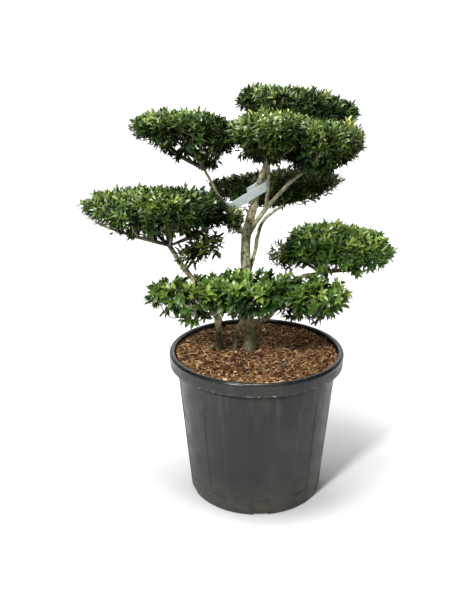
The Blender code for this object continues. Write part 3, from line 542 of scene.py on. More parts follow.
def sprays_of(pad, surface, rng):
    """The shoots of a pad: an outer layer that ends on its surface and a darker one inside it, darker partly
    as painted shade.
    """
    heart = np.array(pad.centre)
    apex = np.array(surface.apex)
    reach = np.array([*pad.reach, pad.rise])
    layers = []
    for inner in (False, True):
        spacing = pad.spacing * (INNER_SPACING if inner else 1)
        points, normals = surface.sites(spacing, UNDER_SPACING, rng)
        under = np.clip(-normals[:, 2] * 2.2, 0, 1)
        patch = np.array([noise.noise(Vector(p) * PATCHES_PER_METRE) for p in points.tolist()])
        from_bough = np.linalg.norm((points - apex)[:, :2] / reach[:2] + (0, pad.bare_front), axis=1)
        bare = under * np.clip(1 - from_bough / pad.bare, 0, 1)
        least = pad.gaps * under * (1.9 if inner else 1) + pad.airy * (1 - under) + 0.8 * bare
        kept = 0.5 + 0.75 * patch > least
        points, normals, under, patch = points[kept], normals[kept], under[kept, None], patch[kept]
        count = len(points)
        inwards = rng.uniform(*INNER_SHARE, (count, 1)) if inner else 1 - 0.10 * rng.random((count, 1)) ** 2
        tips = heart + (points - heart) * inwards
        radial = (tips - heart) * (1, 1, 0)
        edge = np.linalg.norm(radial[:, :2] / reach[:2], axis=1, keepdims=True)
        radial = unit(radial) * np.minimum(edge, 1)
        ways = unit(
            OUTWARDS * normals * (1, 1, 0.5)
            + SIDEWAYS * radial
            + np.array([0, 0, 1]) * (UPWARDS - TURNED_DOWN * under)
            + rng.normal(0, SHOOT_WANDER, (count, 3))
        )
        turned_in = np.maximum(0.3 - (ways * normals).sum(axis=1, keepdims=True), 0)
        ways = unit(ways + 1.4 * turned_in * normals)
        if not inner:
            tips += ways * (STRAY * (rng.random(count) < STRAY_SHARE) * rng.random(count))[:, None]
        lengths = rng.uniform(*SHOOT_LENGTH, count) * (1 + 0.35 * under[:, 0])
        across = (tips[:, 0] - heart[0]) / reach[0]
        above = tips[:, 2] - heart[2]
        level = above / np.where(above > 0, pad.rise, pad.drop)
        # partly painted light and shade: higher shoots lighter, lower and inner ones darker
        linear, square = TONE_OF_HEIGHT
        tones = TONE + linear * level + square * np.clip(level, 0, 1) ** 2 + TONE_OF_EDGE * edge[:, 0]
        tones += pad.light + pad.fresh_side * across * np.abs(across) + TONE_OF_PATCH * patch
        tones += rng.normal(0, TONE_SPREAD, count) - (TONE_INSIDE if inner else 0)
        bases = tips - ways * (lengths[:, None] * 0.96 + pad.leaf * 0.75)
        droops = pad.droop + DROOP_UNDER * under[:, 0]
        layers.append(Sprays(bases, ways, lengths, tones, droops))
    sprays = Sprays(*(np.concatenate(parts) for parts in zip(*layers)))
    apart = np.linalg.norm(sprays.bases[:, None] - sprays.bases[None], axis=2)
    among = (apart < NEIGHBOUR_REACH * pad.spacing).sum(axis=1) > FEWEST_NEIGHBOURS
    return Sprays(*(part[among] for part in sprays))


# ---- twigs ----

class Skeleton:
    """The branching twigs of one pad. Each new twig leaves the nearest place on the ones before it."""

    def __init__(self, capacity):
        self.places = np.zeros((capacity, 3))
        self.travel = np.zeros(capacity)
        self.parents = [-1]
        self.count = 1
        self.branches = []

    def nearest(self, point):
        """The place to branch from: close to the point, not far from the crotch and not above the point."""
        places = self.places[:self.count]
        gaps = np.linalg.norm(places - point, axis=1)
        above = np.maximum(places[:, 2] - point[2], 0)
        return int(np.argmin(gaps + TRAVEL_WEIGHT * self.travel[:self.count] + ABOVE_WEIGHT * above))

    def grow(self, start, points):
        chain = [start]
        for point in points:
            previous = chain[-1]
            self.places[self.count] = point
            gap = np.linalg.norm(point - self.places[previous])
            self.travel[self.count] = self.travel[previous] + gap
            self.parents.append(previous)
            chain.append(self.count)
            self.count += 1
        self.branches.append(chain)

    def radii(self, tips, thickest):
        """Each place is as thick as the shoots beyond it need."""
        load = np.zeros(self.count)
        for tip in tips:
            load[tip] += 1
        for k in range(self.count - 1, 0, -1):
            load[self.parents[k]] += load[k]
        radii = SHOOT_RADIUS * np.maximum(load, 1) ** PIPE_POWER
        return np.minimum(radii, thickest)


def bent(start, end, leave, arrive, steps):
    """Points after the start along a curve that leaves and arrives in the given ways."""
    reach = np.linalg.norm(end - start) * 0.33
    first = start + leave * reach
    second = end - arrive * reach
    t = np.arange(1, steps + 1)[:, None] / steps
    s = 1 - t
    return s ** 3 * start + 3 * s ** 2 * t * first + 3 * s * t ** 2 * second + t ** 3 * end


def grow_twigs(pad, surface, sprays, rng):
    """Stem, ribs and twigs that carry every shoot, and how thick each is."""
    apex = np.array(surface.apex)
    course = limb_course(LIMB[pad.bough])
    way = np.array((course[-1] - course[-2]).normalized())
    heart = np.array(pad.centre)
    rise = heart - apex
    crotch = apex + CROTCH * (rise + way * np.linalg.norm(rise)) / 2
    skeleton = Skeleton(80 + 40 * pad.ribs + 8 * len(sprays.bases))
    skeleton.places[0] = apex - way * 0.004
    skeleton.grow(0, bent(skeleton.places[0], crotch, way, unit(rise), 3))
    fork = skeleton.count - 1

    def inside(azimuth, tilt, share):
        return heart + (np.array(surface.envelope(azimuth, tilt)) - heart) * share

    turn = rng.uniform(0, 360)
    leader = inside(turn, 60, LEADER_SHARE)
    skeleton.grow(fork, bent(crotch, leader, np.array([0, 0, 1]), unit(leader - crotch), 6))
    for k in range(pad.ribs):
        azimuth = turn + 360 * k / pad.ribs + rng.uniform(-14, 14)
        low = inside(azimuth + rng.uniform(-9, 9), rng.uniform(-48, -36), rng.uniform(*RIB_SHARE))
        high = inside(azimuth, rng.uniform(-22, -12), rng.uniform(0.80, 0.92))
        end = inside(azimuth + rng.uniform(-10, 10), rng.uniform(-8, 8), rng.uniform(0.80, 0.90))
        wander = rng.normal(0, 0.005, (2, 3))
        rib = smooth_course([crotch, low + wander[0], high + wander[1], end], 13)
        skeleton.grow(fork, [np.array(point) for point in rib[1:]])
        knee = skeleton.count - 6
        for side in (-1, 1):
            tip = inside(azimuth + side * rng.uniform(16, 30), rng.uniform(-10, 20), rng.uniform(0.6, 0.8))
            here = skeleton.places[knee]
            skeleton.grow(knee, bent(here, tip, unit(end - crotch), unit(tip - here), 5))
            knee -= 1
    tips = []
    order = np.argsort(np.linalg.norm(sprays.bases - crotch, axis=1))
    for k in order:
        base, out = sprays.bases[k], sprays.ways[k]
        start = skeleton.nearest(base)
        here = skeleton.places[start]
        gap = base - here
        bend = unit(gap + 0.25 * rng.normal(0, 1, 3) * np.linalg.norm(gap))
        skeleton.grow(start, bent(here, base, bend, out, 4))
        tips.append(skeleton.count - 1)
    shoots = [(tips[i], k) for i, k in enumerate(order)]
    return skeleton, skeleton.radii(tips, LIMB[pad.bough].thin), shoots


def tubes(courses, radii, sides):
    """Open tubes along many courses of the same number of points, as points and four-sided faces."""
    courses = np.asarray(courses)
    radii = np.asarray(radii)
    count, steps = courses.shape[:2]
    ways = np.empty_like(courses)
    ways[:, 1:-1] = courses[:, 2:] - courses[:, :-2]
    ways[:, 0] = courses[:, 1] - courses[:, 0]
    ways[:, -1] = courses[:, -1] - courses[:, -2]
    ways = unit(ways)
    side = np.cross(ways[:, 0], np.array([0.31, 0.17, 0.93]))
    rings = np.empty((count, steps, sides, 3))
    angles = np.arange(sides) * tau / sides
    for k in range(steps):
        side = unit(side - ways[:, k] * (side * ways[:, k]).sum(axis=1, keepdims=True))
        across = np.cross(ways[:, k], side)
        ring = np.cos(angles)[:, None] * side[:, None] + np.sin(angles)[:, None] * across[:, None]
        rings[:, k] = courses[:, k, None] + ring * radii[:, k, None, None]
    index = np.arange(count * steps * sides).reshape(count, steps, sides)
    after = np.roll(index, -1, axis=2)
    faces = np.stack([index[:, :-1], after[:, :-1], after[:, 1:], index[:, 1:]], axis=-1)
    return rings.reshape(-1, 3), faces.reshape(-1, 4)


def twig_piece(pad, skeleton, radii, sprays, shoots, finish):
    """One mesh of all the twigs of a pad, thick ones round and fine ones three-sided."""
    courses = {}
    for chain in skeleton.branches:
        points = skeleton.places[chain]
        sizes = radii[chain].copy()
        sizes[0] = sizes[1]
        sides = 6 if sizes[0] > ROUND_TWIG else 3
        courses.setdefault((len(chain), sides), []).append((points, sizes))
    for tip, k in shoots:
        end = sprays.bases[k] + sprays.ways[k] * sprays.lengths[k] * 0.9
        sizes = np.array([SHOOT_RADIUS, SHOOT_RADIUS * 0.6])
        courses.setdefault((2, 3), []).append((np.array([skeleton.places[tip], end]), sizes))
    points, faces, offset = [], [], 0
    for (_, sides), group in courses.items():
        p, f = tubes([c for c, _ in group], [r for _, r in group], sides)
        points.append(p)
        faces.append(f + offset)
        offset += len(p)
    points, faces = np.concatenate(points), np.concatenate(faces)
    return place(mesh_piece("twigs_" + pad.name, points, faces, [finish]), "bark")


# ---- leaves ----

LOWER, UPPER = 0.34, 0.72  # rows across the blade, as shares of its length
UPPER_WIDTH = 0.80


def leaf_blades(roots, ways, tops, lengths, widths, curls, folds):
    """Points of many leaves: a root, a row of three across the folded blade, a row of two, and a tip."""
    across = np.cross(ways, tops)

    def rib(along):
        return roots + ways * (lengths * along)[:, None] - tops * (lengths * curls * along ** 2)[:, None]

    half = across * (widths / 2)[:, None]
    lift = tops * (widths / 2 * folds)[:, None]
    low, high = rib(LOWER), rib(UPPER)
    rows = [rib(0.0), low - half + lift, low, low + half + lift]
    rows += [high - half * UPPER_WIDTH + lift * 0.6, high + half * UPPER_WIDTH + lift * 0.6, rib(1.0)]
    return np.stack(rows, axis=1)


LEAF_FACES = np.array([(0, 2, 1), (0, 3, 2), (1, 2, 4), (2, 3, 5), (2, 5, 4), (4, 5, 6)], np.int32)


def limb_distance(points):
    """How far points are from the bark of the limbs."""
    nearest = np.full(len(points), np.inf)
    for limb in LIMBS:
        course = np.array(limb_course(limb))
        for k, (start, end) in enumerate(zip(course, course[1:])):
            span = end - start
            t = np.clip((points - start) @ span / (span @ span), 0, 1)
            gaps = np.linalg.norm(points - start - t[:, None] * span, axis=1)
            nearest = np.minimum(nearest, gaps - limb_radius(limb, k / (len(course) - 1), start[2]))
    return nearest


def leaf_materials(red):
    """The greens with a share of their red."""
    suffix = "" if red == 1 else "_pure"
    return [plain_material(name + suffix, (r * red, g, b), *finish) for name, (r, g, b), *finish in GREENS]


def leaves_piece(pad, sprays, rng, greens):
    """All the leaves of a pad, set in a spiral up each shoot, coloured by the shoot they grow on."""
    count = len(sprays.bases)
    steps = np.arange(LEAVES_ON_SHOOT)
    along = np.broadcast_to(((steps + 0.8) / LEAVES_ON_SHOOT) ** 0.85, (count, LEAVES_ON_SHOOT))
    ways = sprays.ways[:, None]
    up = np.array([0.0, 0.0, 1.0])
    side = unit(np.cross(sprays.ways, rng.normal(0, 1, (count, 3))))[:, None]
    other = np.cross(ways, side)
    azimuth = rng.uniform(0, tau, (count, 1)) + steps * GOLDEN + rng.normal(0, 0.25, along.shape)
    outward = np.cos(azimuth)[..., None] * side + np.sin(azimuth)[..., None] * other
    wide, closing = LEAF_OPENING
    opening = np.radians(wide - closing * along + rng.normal(0, 12, along.shape))[..., None]
    lift = (0.06 - sprays.droops)[:, None, None] * up
    blade = unit(np.cos(opening) * ways + np.sin(opening) * outward + lift)
    top = ways + 0.60 * up + rng.normal(0, 0.30, blade.shape)
    top = unit(top - blade * (top * blade).sum(axis=-1, keepdims=True))
    roots = sprays.bases[:, None] + ways * (along * 0.96 * sprays.lengths[:, None])[..., None]
    least, more, spread = LEAF_SIZE
    size = least + more * np.sin(np.pi * np.clip(along, 0, 1) ** 0.9) + rng.normal(0, spread, along.shape)
    lengths = (pad.leaf * size).ravel()
    widths = lengths * pad.width * rng.uniform(*LEAF_WIDTHS, lengths.shape)
    curls = rng.uniform(*LEAF_CURLS, lengths.shape)
    folds = rng.uniform(*LEAF_FOLDS, lengths.shape)
    roots, blade, top = roots.reshape(-1, 3), blade.reshape(-1, 3), top.reshape(-1, 3)
    spray = np.repeat(np.arange(count), LEAVES_ON_SHOOT)
    clear = limb_distance(roots + blade * lengths[:, None] * 0.6) > LIMB_CLEARANCE
    points = leaf_blades(*(part[clear] for part in (roots, blade, top, lengths, widths, curls, folds)))
    faces = LEAF_FACES[None] + (np.arange(len(points)) * points.shape[1])[:, None, None]
    tone = np.clip(sprays.tones * len(greens), 0, len(greens) - 1).astype(int)[spray[clear]]
    slots = np.repeat(tone, len(LEAF_FACES))
    piece = mesh_piece("leaves_" + pad.name, points, faces.reshape(-1, 3), greens, slots)
    return place(piece, "foliage", "foliage_" + pad.name)


# ---- bark ----

BARK_SIDES = 20
BARK_STEP = 0.004
BARK_LUMPS = ((0.10, 30, 0.8), (0.05, 90, 1.6))  # their size, how close along the limb and how close round it
BARK_VOXEL = 0.0017
BARK_RELIEF = ((0.00070, (150, 150, 110)), (0.00045, (430, 430, 430)))  # heights, how close along X, Y and Z
COLLAR, COLLAR_LENGTH = 0.45, 1.3  # where a bough leaves its parent, its length in the parent's radii
BUTTRESS, BUTTRESS_HEIGHT = 0.16, 0.035  # the three ribs at a stem's foot


def bark_material():
    """Beige bark with dark blotches, darker on the upper boughs as painted shade of the pads, and greenish at
    the foot.
    """
    nodes = Nodes("bark_finish", 0.85)
    height = nodes.height()
    blotches = nodes.ramp(
        nodes.noise(110, 4, (1, 1, 0.9)),
        (0.35, (0.070, 0.056, 0.030)), (0.45, (0.380, 0.345, 0.190)), (0.61, (0.700, 0.660, 0.420)),
    )
    colour = nodes.layers(
        blotches,
        (nodes.span(nodes.noise(30, 3, (1, 1, 0.6)), 0.46, 0.68, 0.0, 0.60), (0.170, 0.165, 0.085)),
        # painted shade: the boughs darken with height, as in the shade of the pads above
        (nodes.span(height, 0.74, 0.88, 0.0, 0.64), (0.090, 0.076, 0.050)),
        (nodes.span(height, 0.415, 0.54, 0.80, 0.0), (0.105, 0.096, 0.050)),
    )
    grain = nodes.bump(nodes.noise(430, 2), 0.0008)
    return nodes.finish(colour, nodes.bump(nodes.noise(150, 3, (1, 1, 0.8)), 0.0020, grain))


def limb_tube(limb):
    """A fine tube for one limb, swollen where it leaves its parent."""
    course = limb_course(limb, BARK_STEP)
    last = len(course) - 1
    rings = []
    way = (course[1] - course[0]).normalized() if limb.parent else Vector((0, 0, 1))
    side = way.orthogonal().normalized()
    for k, point in enumerate(course):
        ahead, behind = course[min(k + 1, last)], course[max(k - 1, 0)]
        way = (ahead - behind).normalized() if k or limb.parent else Vector((0, 0, 1))
        side = (side - way * side.dot(way)).normalized()
        across = way.cross(side)
        radius = limb_radius(limb, k / last, point.z)
        if limb.parent:
            travelled = (point - course[0]).length / LIMB[limb.parent].thick
            radius *= 1 + COLLAR * exp(-((travelled / COLLAR_LENGTH) ** 2))
        else:
            radius *= 0.97
        for j in range(BARK_SIDES):
            angle = tau * j / BARK_SIDES
            out = cos(angle) * side + sin(angle) * across
            swell = sum(size * noise.noise(point * near + out * turn) for size, near, turn in BARK_LUMPS)
            if not limb.parent:
                root = exp(-(((point.z - SOIL_LEVEL) / BUTTRESS_HEIGHT) ** 2))
                swell += BUTTRESS * root * cos(3 * angle + 1.1)
            rings.append(tuple(point + out * radius * (1 + swell)))
    return rings, closed_tube(last + 1, BARK_SIDES)


def bark_piece():
    """All limbs as one skin: their tubes melt together at the forks, then get the bark's relief."""
    points, faces = [], []
    for limb in LIMBS:
        rings, sides = limb_tube(limb)
        faces += [tuple(v + len(points) for v in face) for face in sides]
        points += rings
    piece = mesh_piece("bark_limbs", points, faces)
    melt = piece.modifiers.new("Melt", "REMESH")
    melt.mode = "VOXEL"
    melt.voxel_size = BARK_VOXEL
    smooth = piece.modifiers.new("Smooth", "SMOOTH")
    smooth.factor = 0.5
    smooth.iterations = 3
    apply_modifiers(piece)
    made = piece.data
    co, normals = np.empty((2, len(made.vertices) * 3), np.float32)
    made.vertices.foreach_get("co", co)
    made.vertices.foreach_get("normal", normals)
    co, normals = co.reshape(-1, 3), normals.reshape(-1, 3)
    relief = np.array([
        sum(size * noise.noise(Vector((x * a, y * b, z * c))) for size, (a, b, c) in BARK_RELIEF)
        for x, y, z in co.tolist()
    ])
    co += normals * relief[:, None]
    co[:, 2] = np.maximum(co[:, 2], SOIL_LEVEL - 0.0002)
    made.vertices.foreach_set("co", co.ravel())
    made.shade_smooth()
    made.materials.append(bark_material())
    return place(piece, "bark", *[limb.name for limb in LIMBS])


# ---- pot ----

def around(radius, azimuth, height):
    angle = radians(azimuth)
    return (radius * sin(angle), -radius * cos(angle), height)


def wall_radius(height):
    along = (height - WALL_FOOT) / (POT_HEIGHT - RIM_DEPTH - WALL_FOOT)
    return WALL_FOOT_RADIUS + (WALL_TOP_RADIUS - WALL_FOOT_RADIUS) * along


def smoothstep(value):
    value = min(max(value, 0), 1)
    return value * value * (3 - 2 * value)


def panel_depth(azimuth, radius, height):
    """How far the outer wall is set back there: ten shallow panels with rounded tops and narrow edges."""
    low, high = PANEL_SPAN
    if not low <= height <= high or radius <= wall_radius(height) - WALL / 2:
        return 0
    offset = abs((azimuth - FIRST_PANEL_AZIMUTH + PITCH / 2) % PITCH - PITCH / 2)
    edge = smoothstep((HALF_PANEL + PANEL_RAMP / 2 - offset) / PANEL_RAMP)
    top = high - PANEL_ARCH * (offset / HALF_PANEL) ** 2
    ends = smoothstep((height - low) / PANEL_END) * smoothstep((top - height) / PANEL_END)
    return PANEL_RECESS * edge * ends


def panel_azimuths():
    """Azimuths round the pot, close together only at the edges of the panels."""
    steps = [side * (HALF_PANEL - PANEL_RAMP * k / 4) for side in (1, -1) for k in (-2, -1, 0, 1, 2)]
    for k in range(PITCH_STEPS):
        offset = PITCH * (k / PITCH_STEPS - 0.5)
        if abs(abs(offset) - HALF_PANEL) > 0.7 * PANEL_RAMP:
            steps.append(offset)
    return [FIRST_PANEL_AZIMUTH + PITCH * k + step for k in range(PANELS) for step in sorted(steps)]


def pot_material():
    """Black plastic, dusty, with grit at its foot, pale specks along the skirt and a painted shadow line
    under it.
    """
    nodes = Nodes("black_plastic_finish", 0.40, 0.34)
    height = nodes.height()
    streaks = nodes.span(nodes.noise(60, 3, (1, 1, 0.04)), 0.52, 0.74, 0.0, 0.20)
    low = nodes.span(height, 0.0, 0.14, 0.60, 0.0)
    grit = nodes.span(nodes.noise(260, 2), 0.63, 0.70)
    specks = nodes.span(nodes.noise(220, 2), 0.60, 0.70, 0.0, 0.70)
    edge = nodes.times(nodes.span(height, 0.3925, 0.3935), nodes.span(height, 0.3960, 0.3980, 1.0, 0.0))
    # painted shadow: the wall just under the skirt and the skirt's lower edge go near black, where the
    # skirt's shade falls
    skirt_shadow = nodes.span(height, 0.3700, 0.3890)
    skirt_shadow = nodes.times(skirt_shadow, nodes.span(height, 0.3925, 0.3935, 1.0, 0.0))
    colour = nodes.layers(
        nodes.ramp(nodes.noise(5, 3), (0.35, (0.0080, 0.0096, 0.0104)), (0.65, (0.0130, 0.0142, 0.0138))),
        (nodes.span(nodes.noise(7, 4, (1, 1, 0.5)), 0.50, 0.78, 0.0, 0.45), (0.055, 0.050, 0.036)),
        (nodes.times(streaks, nodes.span(height, 0.20, 0.37)), (0.110, 0.105, 0.085)),
        (nodes.times(low, nodes.noise(30, 4)), (0.105, 0.092, 0.060)),
        (nodes.times(grit, nodes.span(height, 0.02, 0.12, 0.60, 0.0)), (0.200, 0.180, 0.130)),
        (nodes.times(specks, edge), (0.520, 0.520, 0.500)),
        # the painted shadow under the skirt
        (skirt_shadow, (0.0015, 0.0018, 0.0020)),
    )
    rough = nodes.span(nodes.noise(26, 3), 0.3, 0.7, 0.34, 0.50)
    rough = nodes.times(rough, nodes.span(height, 0.412, 0.422, 1.0, 0.55))
    # the painted shadow is rougher too, so it reflects less
    rough = nodes.times(rough, nodes.span(skirt_shadow, 0.0, 1.0, 1.0, 2.0))
    grain = nodes.bump(nodes.noise(700, 2), 0.00010, nodes.bump(nodes.noise(11, 2), 0.0008))
    return nodes.finish(colour, grain, rough)


def arc(middle, height, across, rise, first, last, steps):
    """Points of a section along part of an ellipse, angles in degrees from outwards to up."""
    points = []
    for k in range(steps + 1):
        angle = radians(first + (last - first) * k / steps)
        points.append((middle + across * cos(angle), height + rise * sin(angle)))
    return points


def pot_section():
    """The pot's section as radii and heights: underside, outer wall, skirt, rolled rim and inside."""
    skirt_foot = POT_HEIGHT - RIM_DEPTH
    ring = FOOT_RADIUS - FOOT_RING_WIDTH
    section = [(CENTRE_PAD_RADIUS, STAND), (CENTRE_PAD_RADIUS + DRAFT, FLOOR_UNDER)]
    section += [(ring - DRAFT, FLOOR_UNDER), (ring, STAND)]
    section += arc(FOOT_RADIUS, FOOT_ROUND + STAND, FOOT_ROUND, FOOT_ROUND, -90, 0, 6)
    low, high = PANEL_SPAN
    heights = [WALL_FOOT, WALL_FOOT + 0.008]
    heights += [low + 0.0015 * k for k in range(-1, 4)]
    heights += [low + (high - low) * k / 10 for k in range(1, 10)]
    heights += [high - 0.0015 * k for k in range(-1, 8)]
    heights += [high + 0.015, skirt_foot - 0.012]
    section += [(wall_radius(height), height) for height in sorted(heights)]
    section += [(wall_radius(skirt_foot), skirt_foot)]
    top = POT_HEIGHT - SKIRT_TOP
    section += [(wall_radius(top), top), (RIM_RADIUS - SKIRT_THICK, top)]
    edge = RIM_RADIUS - SKIRT_TAPER
    inner = RIM_RADIUS - SKIRT_THICK
    section += [(inner, skirt_foot + 0.0010), (inner + 0.0010, skirt_foot)]
    section += arc(edge - 0.0012, skirt_foot + 0.0012, 0.0012, 0.0012, -90, 0, 3)
    middle = RIM_RADIUS - RIM_WIDTH / 2
    shoulder = POT_HEIGHT - RIM_ROLL
    section += [(RIM_RADIUS - 0.0004, shoulder - 0.010)]
    section += arc(RIM_RADIUS - RIM_BEVEL, POT_HEIGHT - RIM_BEVEL, RIM_BEVEL, RIM_BEVEL, 0, 84, 8)
    section += arc(middle - 0.0020, shoulder, RIM_WIDTH / 2 - 0.0020, RIM_ROLL * 0.92, 70, 180, 7)
    section += [(LIP_RADIUS, SOIL_EDGE), (wall_radius(LIP_FOOT) - WALL, LIP_FOOT)]
    section += [(WALL_FOOT_RADIUS - WALL, WALL_FOOT), (FOOT_RADIUS - WALL, FLOOR_TOP)]
    return section


def turned(name, section, azimuths, materials=()):
    """A closed solid turned from a section, with the panels set back in its outer wall."""
    points = [
        around(radius - panel_depth(azimuth, radius, height), azimuth, height)
        for radius, height in section
        for azimuth in azimuths
    ]
    return mesh_piece(name, points, closed_tube(len(section), len(azimuths)), materials)


def cut(obj, cutters):
    """Take the cutters out of the object and remove them."""
    group = bpy.data.collections.new("cutters")
    for cutter in cutters:
        group.objects.link(cutter)
    step = obj.modifiers.new("Cut", "BOOLEAN")
    step.operation = "DIFFERENCE"
    step.operand_type = "COLLECTION"
    step.collection = group
    apply_modifiers(obj)
    for cutter in cutters:
        bpy.data.objects.remove(cutter)
    bpy.data.collections.remove(group)


def prism(corners, low, high):
    """An upright solid between two heights. Seen from above its corners run anticlockwise."""
    points = [(x, y, height) for height in (low, high) for x, y in corners]
    return mesh_piece("cutter", points, closed_tube(2, len(corners)), smooth=False)


def pot_piece():
    """The moulded pot, with notches through its foot ring and drain holes in its floor."""
    piece = turned("pot_shell", pot_section(), panel_azimuths())
    width, length, height = NOTCH_SIZE
    cutters = []
    for k in range(NOTCHES):
        azimuth = FIRST_PANEL_AZIMUTH + 360 * k / NOTCHES
        turn = Matrix.Rotation(radians(azimuth), 2)
        notch = [turn @ Vector((x * width / 2, y * length / 2 - FOOT_RADIUS)) for x, y in SQUARE]
        cutters.append(prism(notch, -height, height))
        x, y, _ = around(DRAIN_HOLE_RING, azimuth + 180 / NOTCHES, 0)
        ways = [around(DRAIN_HOLE_RADIUS, 15 * step, 0) for step in range(24)]
        hole = [(x + across, y + deep) for across, deep, _ in ways]
        cutters.append(prism(hole, FLOOR_UNDER - FLOOR_TOP, FLOOR_UNDER + FLOOR_TOP))
    cut(piece, cutters)
    piece.data.materials.clear()
    piece.data.materials.append(pot_material())
    piece.data.shade_smooth()
    piece.data.set_sharp_from_angle(angle=radians(38))
    return place(piece, "pot", "pot")


# ---- mulch ----

CHIP_BROWNS = (
    ("chip_dark", (0.032, 0.014, 0.006), 0.85),
    ("chip_brown", (0.125, 0.050, 0.016), 0.80),
    ("chip_red", (0.275, 0.116, 0.034), 0.78),
    ("chip_tan", (0.490, 0.268, 0.098), 0.75),
    ("chip_pale", (0.820, 0.600, 0.330), 0.75),
)
BROWN_SHARES = (0.20, 0.24, 0.25, 0.21, 0.10)
CHIPS = 6400
CHIP_POINTS = 12
CHIP_KINDS = (  # shortest, what adds to that and its power, and the range of widths
    (0.006, 0.013, 1.0, (0.0030, 0.0068)),
    (0.011, 0.022, 1.5, (0.0013, 0.0027)),
)
SLIM_SHARE = 0.55  # of the second kind
CHIP_CLEARANCE = 0.004  # from the stems
BED_BELOW = 0.0025  # the bed under the level that the chips lie at


def mulch_height(x, y):
    """A bed that rises a little to the pot's lip."""
    rise = (SOIL_EDGE - SOIL_LEVEL) * (hypot(x, y) / LIP_RADIUS) ** 3
    place_at = Vector((x, y, 0))
    return SOIL_LEVEL + rise + 0.003 * noise.noise(place_at * 22) + 0.002 * noise.noise(place_at * 60)


def mulch_material():
    nodes = Nodes("mulch_finish", 0.95)
    colour = nodes.ramp(
        nodes.noise(160, 4),
        (0.35, (0.014, 0.008, 0.005)), (0.55, (0.070, 0.034, 0.016)), (0.72, (0.190, 0.096, 0.044)),
    )
    return nodes.finish(colour, nodes.bump(nodes.cells(260), 0.003))


def mulch_piece():
    """The uneven bed under the chips, and the compost below it down to the pot's floor."""
    edge = LIP_RADIUS - 2 * GAP
    inside = ((FOOT_RADIUS, FLOOR_TOP), (WALL_FOOT_RADIUS, WALL_FOOT), (wall_radius(LIP_FOOT), LIP_FOOT))
    below = [(radius - WALL - 2 * GAP, height + GAP) for radius, height in inside]
    rings = 36
    section = below + [(edge * (1 - k / rings), SOIL_LEVEL) for k in range(rings)]
    piece = turned("mulch_bed", section, range(0, 360, 3), [mulch_material()])
    for vertex in piece.data.vertices:
        x, y, z = vertex.co
        if z > LIP_FOOT + 2 * GAP:
            vertex.co.z = mulch_height(x, y) - BED_BELOW
    return place(piece, "mulch", "soil")


def chips_piece(rng):
    """Shredded bark: thin tapered slivers that lie every way on the bed."""
    stems = [(limb.start, limb.thick) for limb in LIMBS if not limb.parent]
    points, tones = [], []
    while len(points) < CHIPS:
        shortest, more, power, widths = CHIP_KINDS[rng.random() < SLIM_SHARE]
        length = shortest + more * rng.random() ** power
        width = rng.uniform(*widths)
        thick = rng.uniform(0.0006, 0.0016)
        radius = (LIP_RADIUS - 0.003) * sqrt(rng.random())
        angle = rng.uniform(0, tau)
        x, y = radius * cos(angle), radius * sin(angle)
        turn = rng.uniform(0, tau)
        half = (length / 2 * cos(turn), length / 2 * sin(turn))
        reach = max(hypot(x + side * half[0], y + side * half[1]) for side in (-1, 1))
        near = min(hypot(x - start[0], y - start[1]) - thickness for start, thickness in stems)
        if reach > LIP_RADIUS - 0.0012 or near < CHIP_CLEARANCE:
            continue
        tipped = Matrix.Rotation(rng.normal(0, 0.20), 3, "Y") @ Matrix.Rotation(rng.normal(0, 0.6), 3, "X")
        tipped = Matrix.Rotation(turn, 3, "Z") @ tipped
        taper = rng.uniform(0.25, 0.95, 2)
        arch = rng.normal(0, 0.10) * length
        sweep = rng.normal(0, 0.10) * length
        place_at = Vector((x, y, mulch_height(x, y) + rng.uniform(-0.0005, 0.0042)))
        chip = []
        for along, narrow, bend in ((-0.5, taper[0], 0), (0.05, 1.0, 1), (0.5, taper[1], 0)):
            for a, b in SQUARE:
                across = a * width / 2 * narrow + sweep * bend
                corner = Vector((along * length, across, b * thick / 2 * narrow + arch * bend))
                chip.append(tipped @ corner + place_at)
        points.append([tuple(p) for p in chip])
        tones.append(rng.choice(len(CHIP_BROWNS), p=BROWN_SHARES))
    box = [(3, 2, 1, 0), (8, 9, 10, 11)]
    for row in (0, 4):
        box += [(row + k, row + (k + 1) % 4, row + 4 + (k + 1) % 4, row + 4 + k) for k in range(4)]
    box = np.array(box, np.int32)[:, ::-1]
    faces = box[None] + (np.arange(CHIPS) * CHIP_POINTS)[:, None, None]
    browns = [plain_material(*brown) for brown in CHIP_BROWNS]
    slots = np.repeat(tones, len(box))
    return place(mesh_piece("bark_chips", points, faces.reshape(-1, 4), browns, slots, smooth=False), "mulch")


# ---- label, floor, light, camera ----

def label_finish():
    nodes = Nodes("film_finish", 0.38)
    noise_on_film = nodes.noise(60, 2, (1, 1, 3))
    colour = nodes.ramp(noise_on_film, (0.35, (0.72, 0.86, 0.88)), (0.65, (0.90, 0.97, 0.98)))
    strip = frame["nodes"]["label"]
    strip.data.materials.clear()
    strip.data.materials.append(nodes.finish(colour, nodes.bump(nodes.noise(90, 2), 0.0006)))


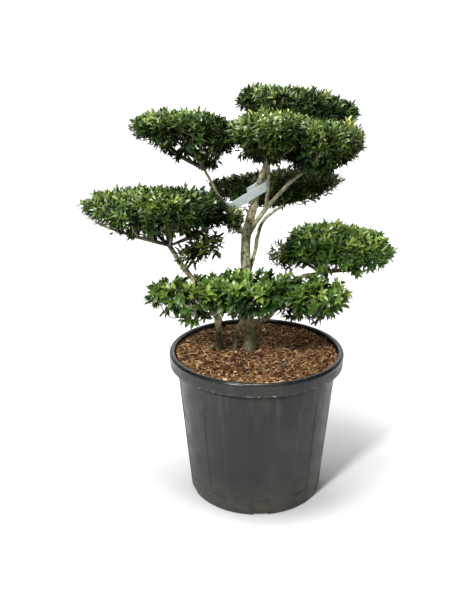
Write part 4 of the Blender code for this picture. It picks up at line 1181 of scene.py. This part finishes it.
def floor():
    """A pale floor that curves up behind the plant without a line."""
    nodes = Nodes("floor_finish", 0.9)
    greys = nodes.ramp(nodes.noise(2.5, 2), (0.3, (0.86, 0.86, 0.86)), (0.7, (0.88, 0.88, 0.88)))
    bend, back, top, wide = 1.6, 3.4, 5.0, 9.0
    course = [(-wide, 0.0), *arc(back - bend, bend, bend, bend, -90, 0, 16), (back, top)]
    points = [(x, y, z) for y, z in course for x in (-wide, wide)]
    faces = [(2 * k, 2 * k + 1, 2 * k + 3, 2 * k + 2) for k in range(len(course) - 1)]
    mesh_piece("floor", points, faces, [nodes.finish(greys)])


def light(name, place_at, target, size, power):
    lamp = bpy.data.lights.new(name, "AREA")
    lamp.shape = "DISK"
    lamp.size = size
    lamp.energy = power
    obj = linked(name, lamp)
    obj.location = place_at
    obj.rotation_euler = (Vector(target) - Vector(place_at)).to_track_quat("-Z", "Y").to_euler()


def studio():
    floor()
    light("overhead", (-0.3, -0.3, 3.4), (0, 0, 0.6), 1.1, 92)
    light("key", (-1.5, -2.7, 2.7), (0, 0, 0.65), 0.5, 135)
    light("backdrop", (0, 0.9, 4.2), (0, 3.3, 1.2), 2.5, 130)
    world = bpy.data.worlds.new("studio")
    world.use_nodes = True
    put(world.node_tree.nodes["Background"], {"Color": (1, 1, 1, 1), "Strength": 0.12})
    bpy.context.scene.world = world
    bpy.context.scene.view_settings.view_transform = "Standard"


def camera():
    data = bpy.data.cameras.new("camera")
    data.sensor_fit = "VERTICAL"
    data.sensor_height = SENSOR_HEIGHT
    data.lens = LENS
    obj = linked("camera", data)
    obj.location = CAMERA_PLACE
    obj.rotation_euler = (radians(90 - CAMERA_DOWN), 0, radians(CAMERA_TURN))
    bpy.context.scene.camera = obj


def foliage():
    greens = {red: leaf_materials(red) for red in sorted({pad.red for pad in PADS})}
    nodes = Nodes("twig_finish", 0.8)
    browns = nodes.ramp(nodes.noise(50, 2), (0.35, (0.075, 0.064, 0.040)), (0.65, (0.210, 0.180, 0.125)))
    twig_finish = nodes.finish(browns)
    for k, pad in enumerate(PADS):
        rng = np.random.default_rng(100 + k)
        surface = Surface(pad)
        sprays = sprays_of(pad, surface, rng)
        skeleton, radii, shoots = grow_twigs(pad, surface, sprays, rng)
        twig_piece(pad, skeleton, radii, sprays, shoots, twig_finish)
        leaves_piece(pad, sprays, rng, greens[pad.red])


def main():
    camera()
    studio()
    pot_piece()
    mulch_piece()
    chips_piece(np.random.default_rng(7))
    bark_piece()
    label_finish()
    foliage()


main()
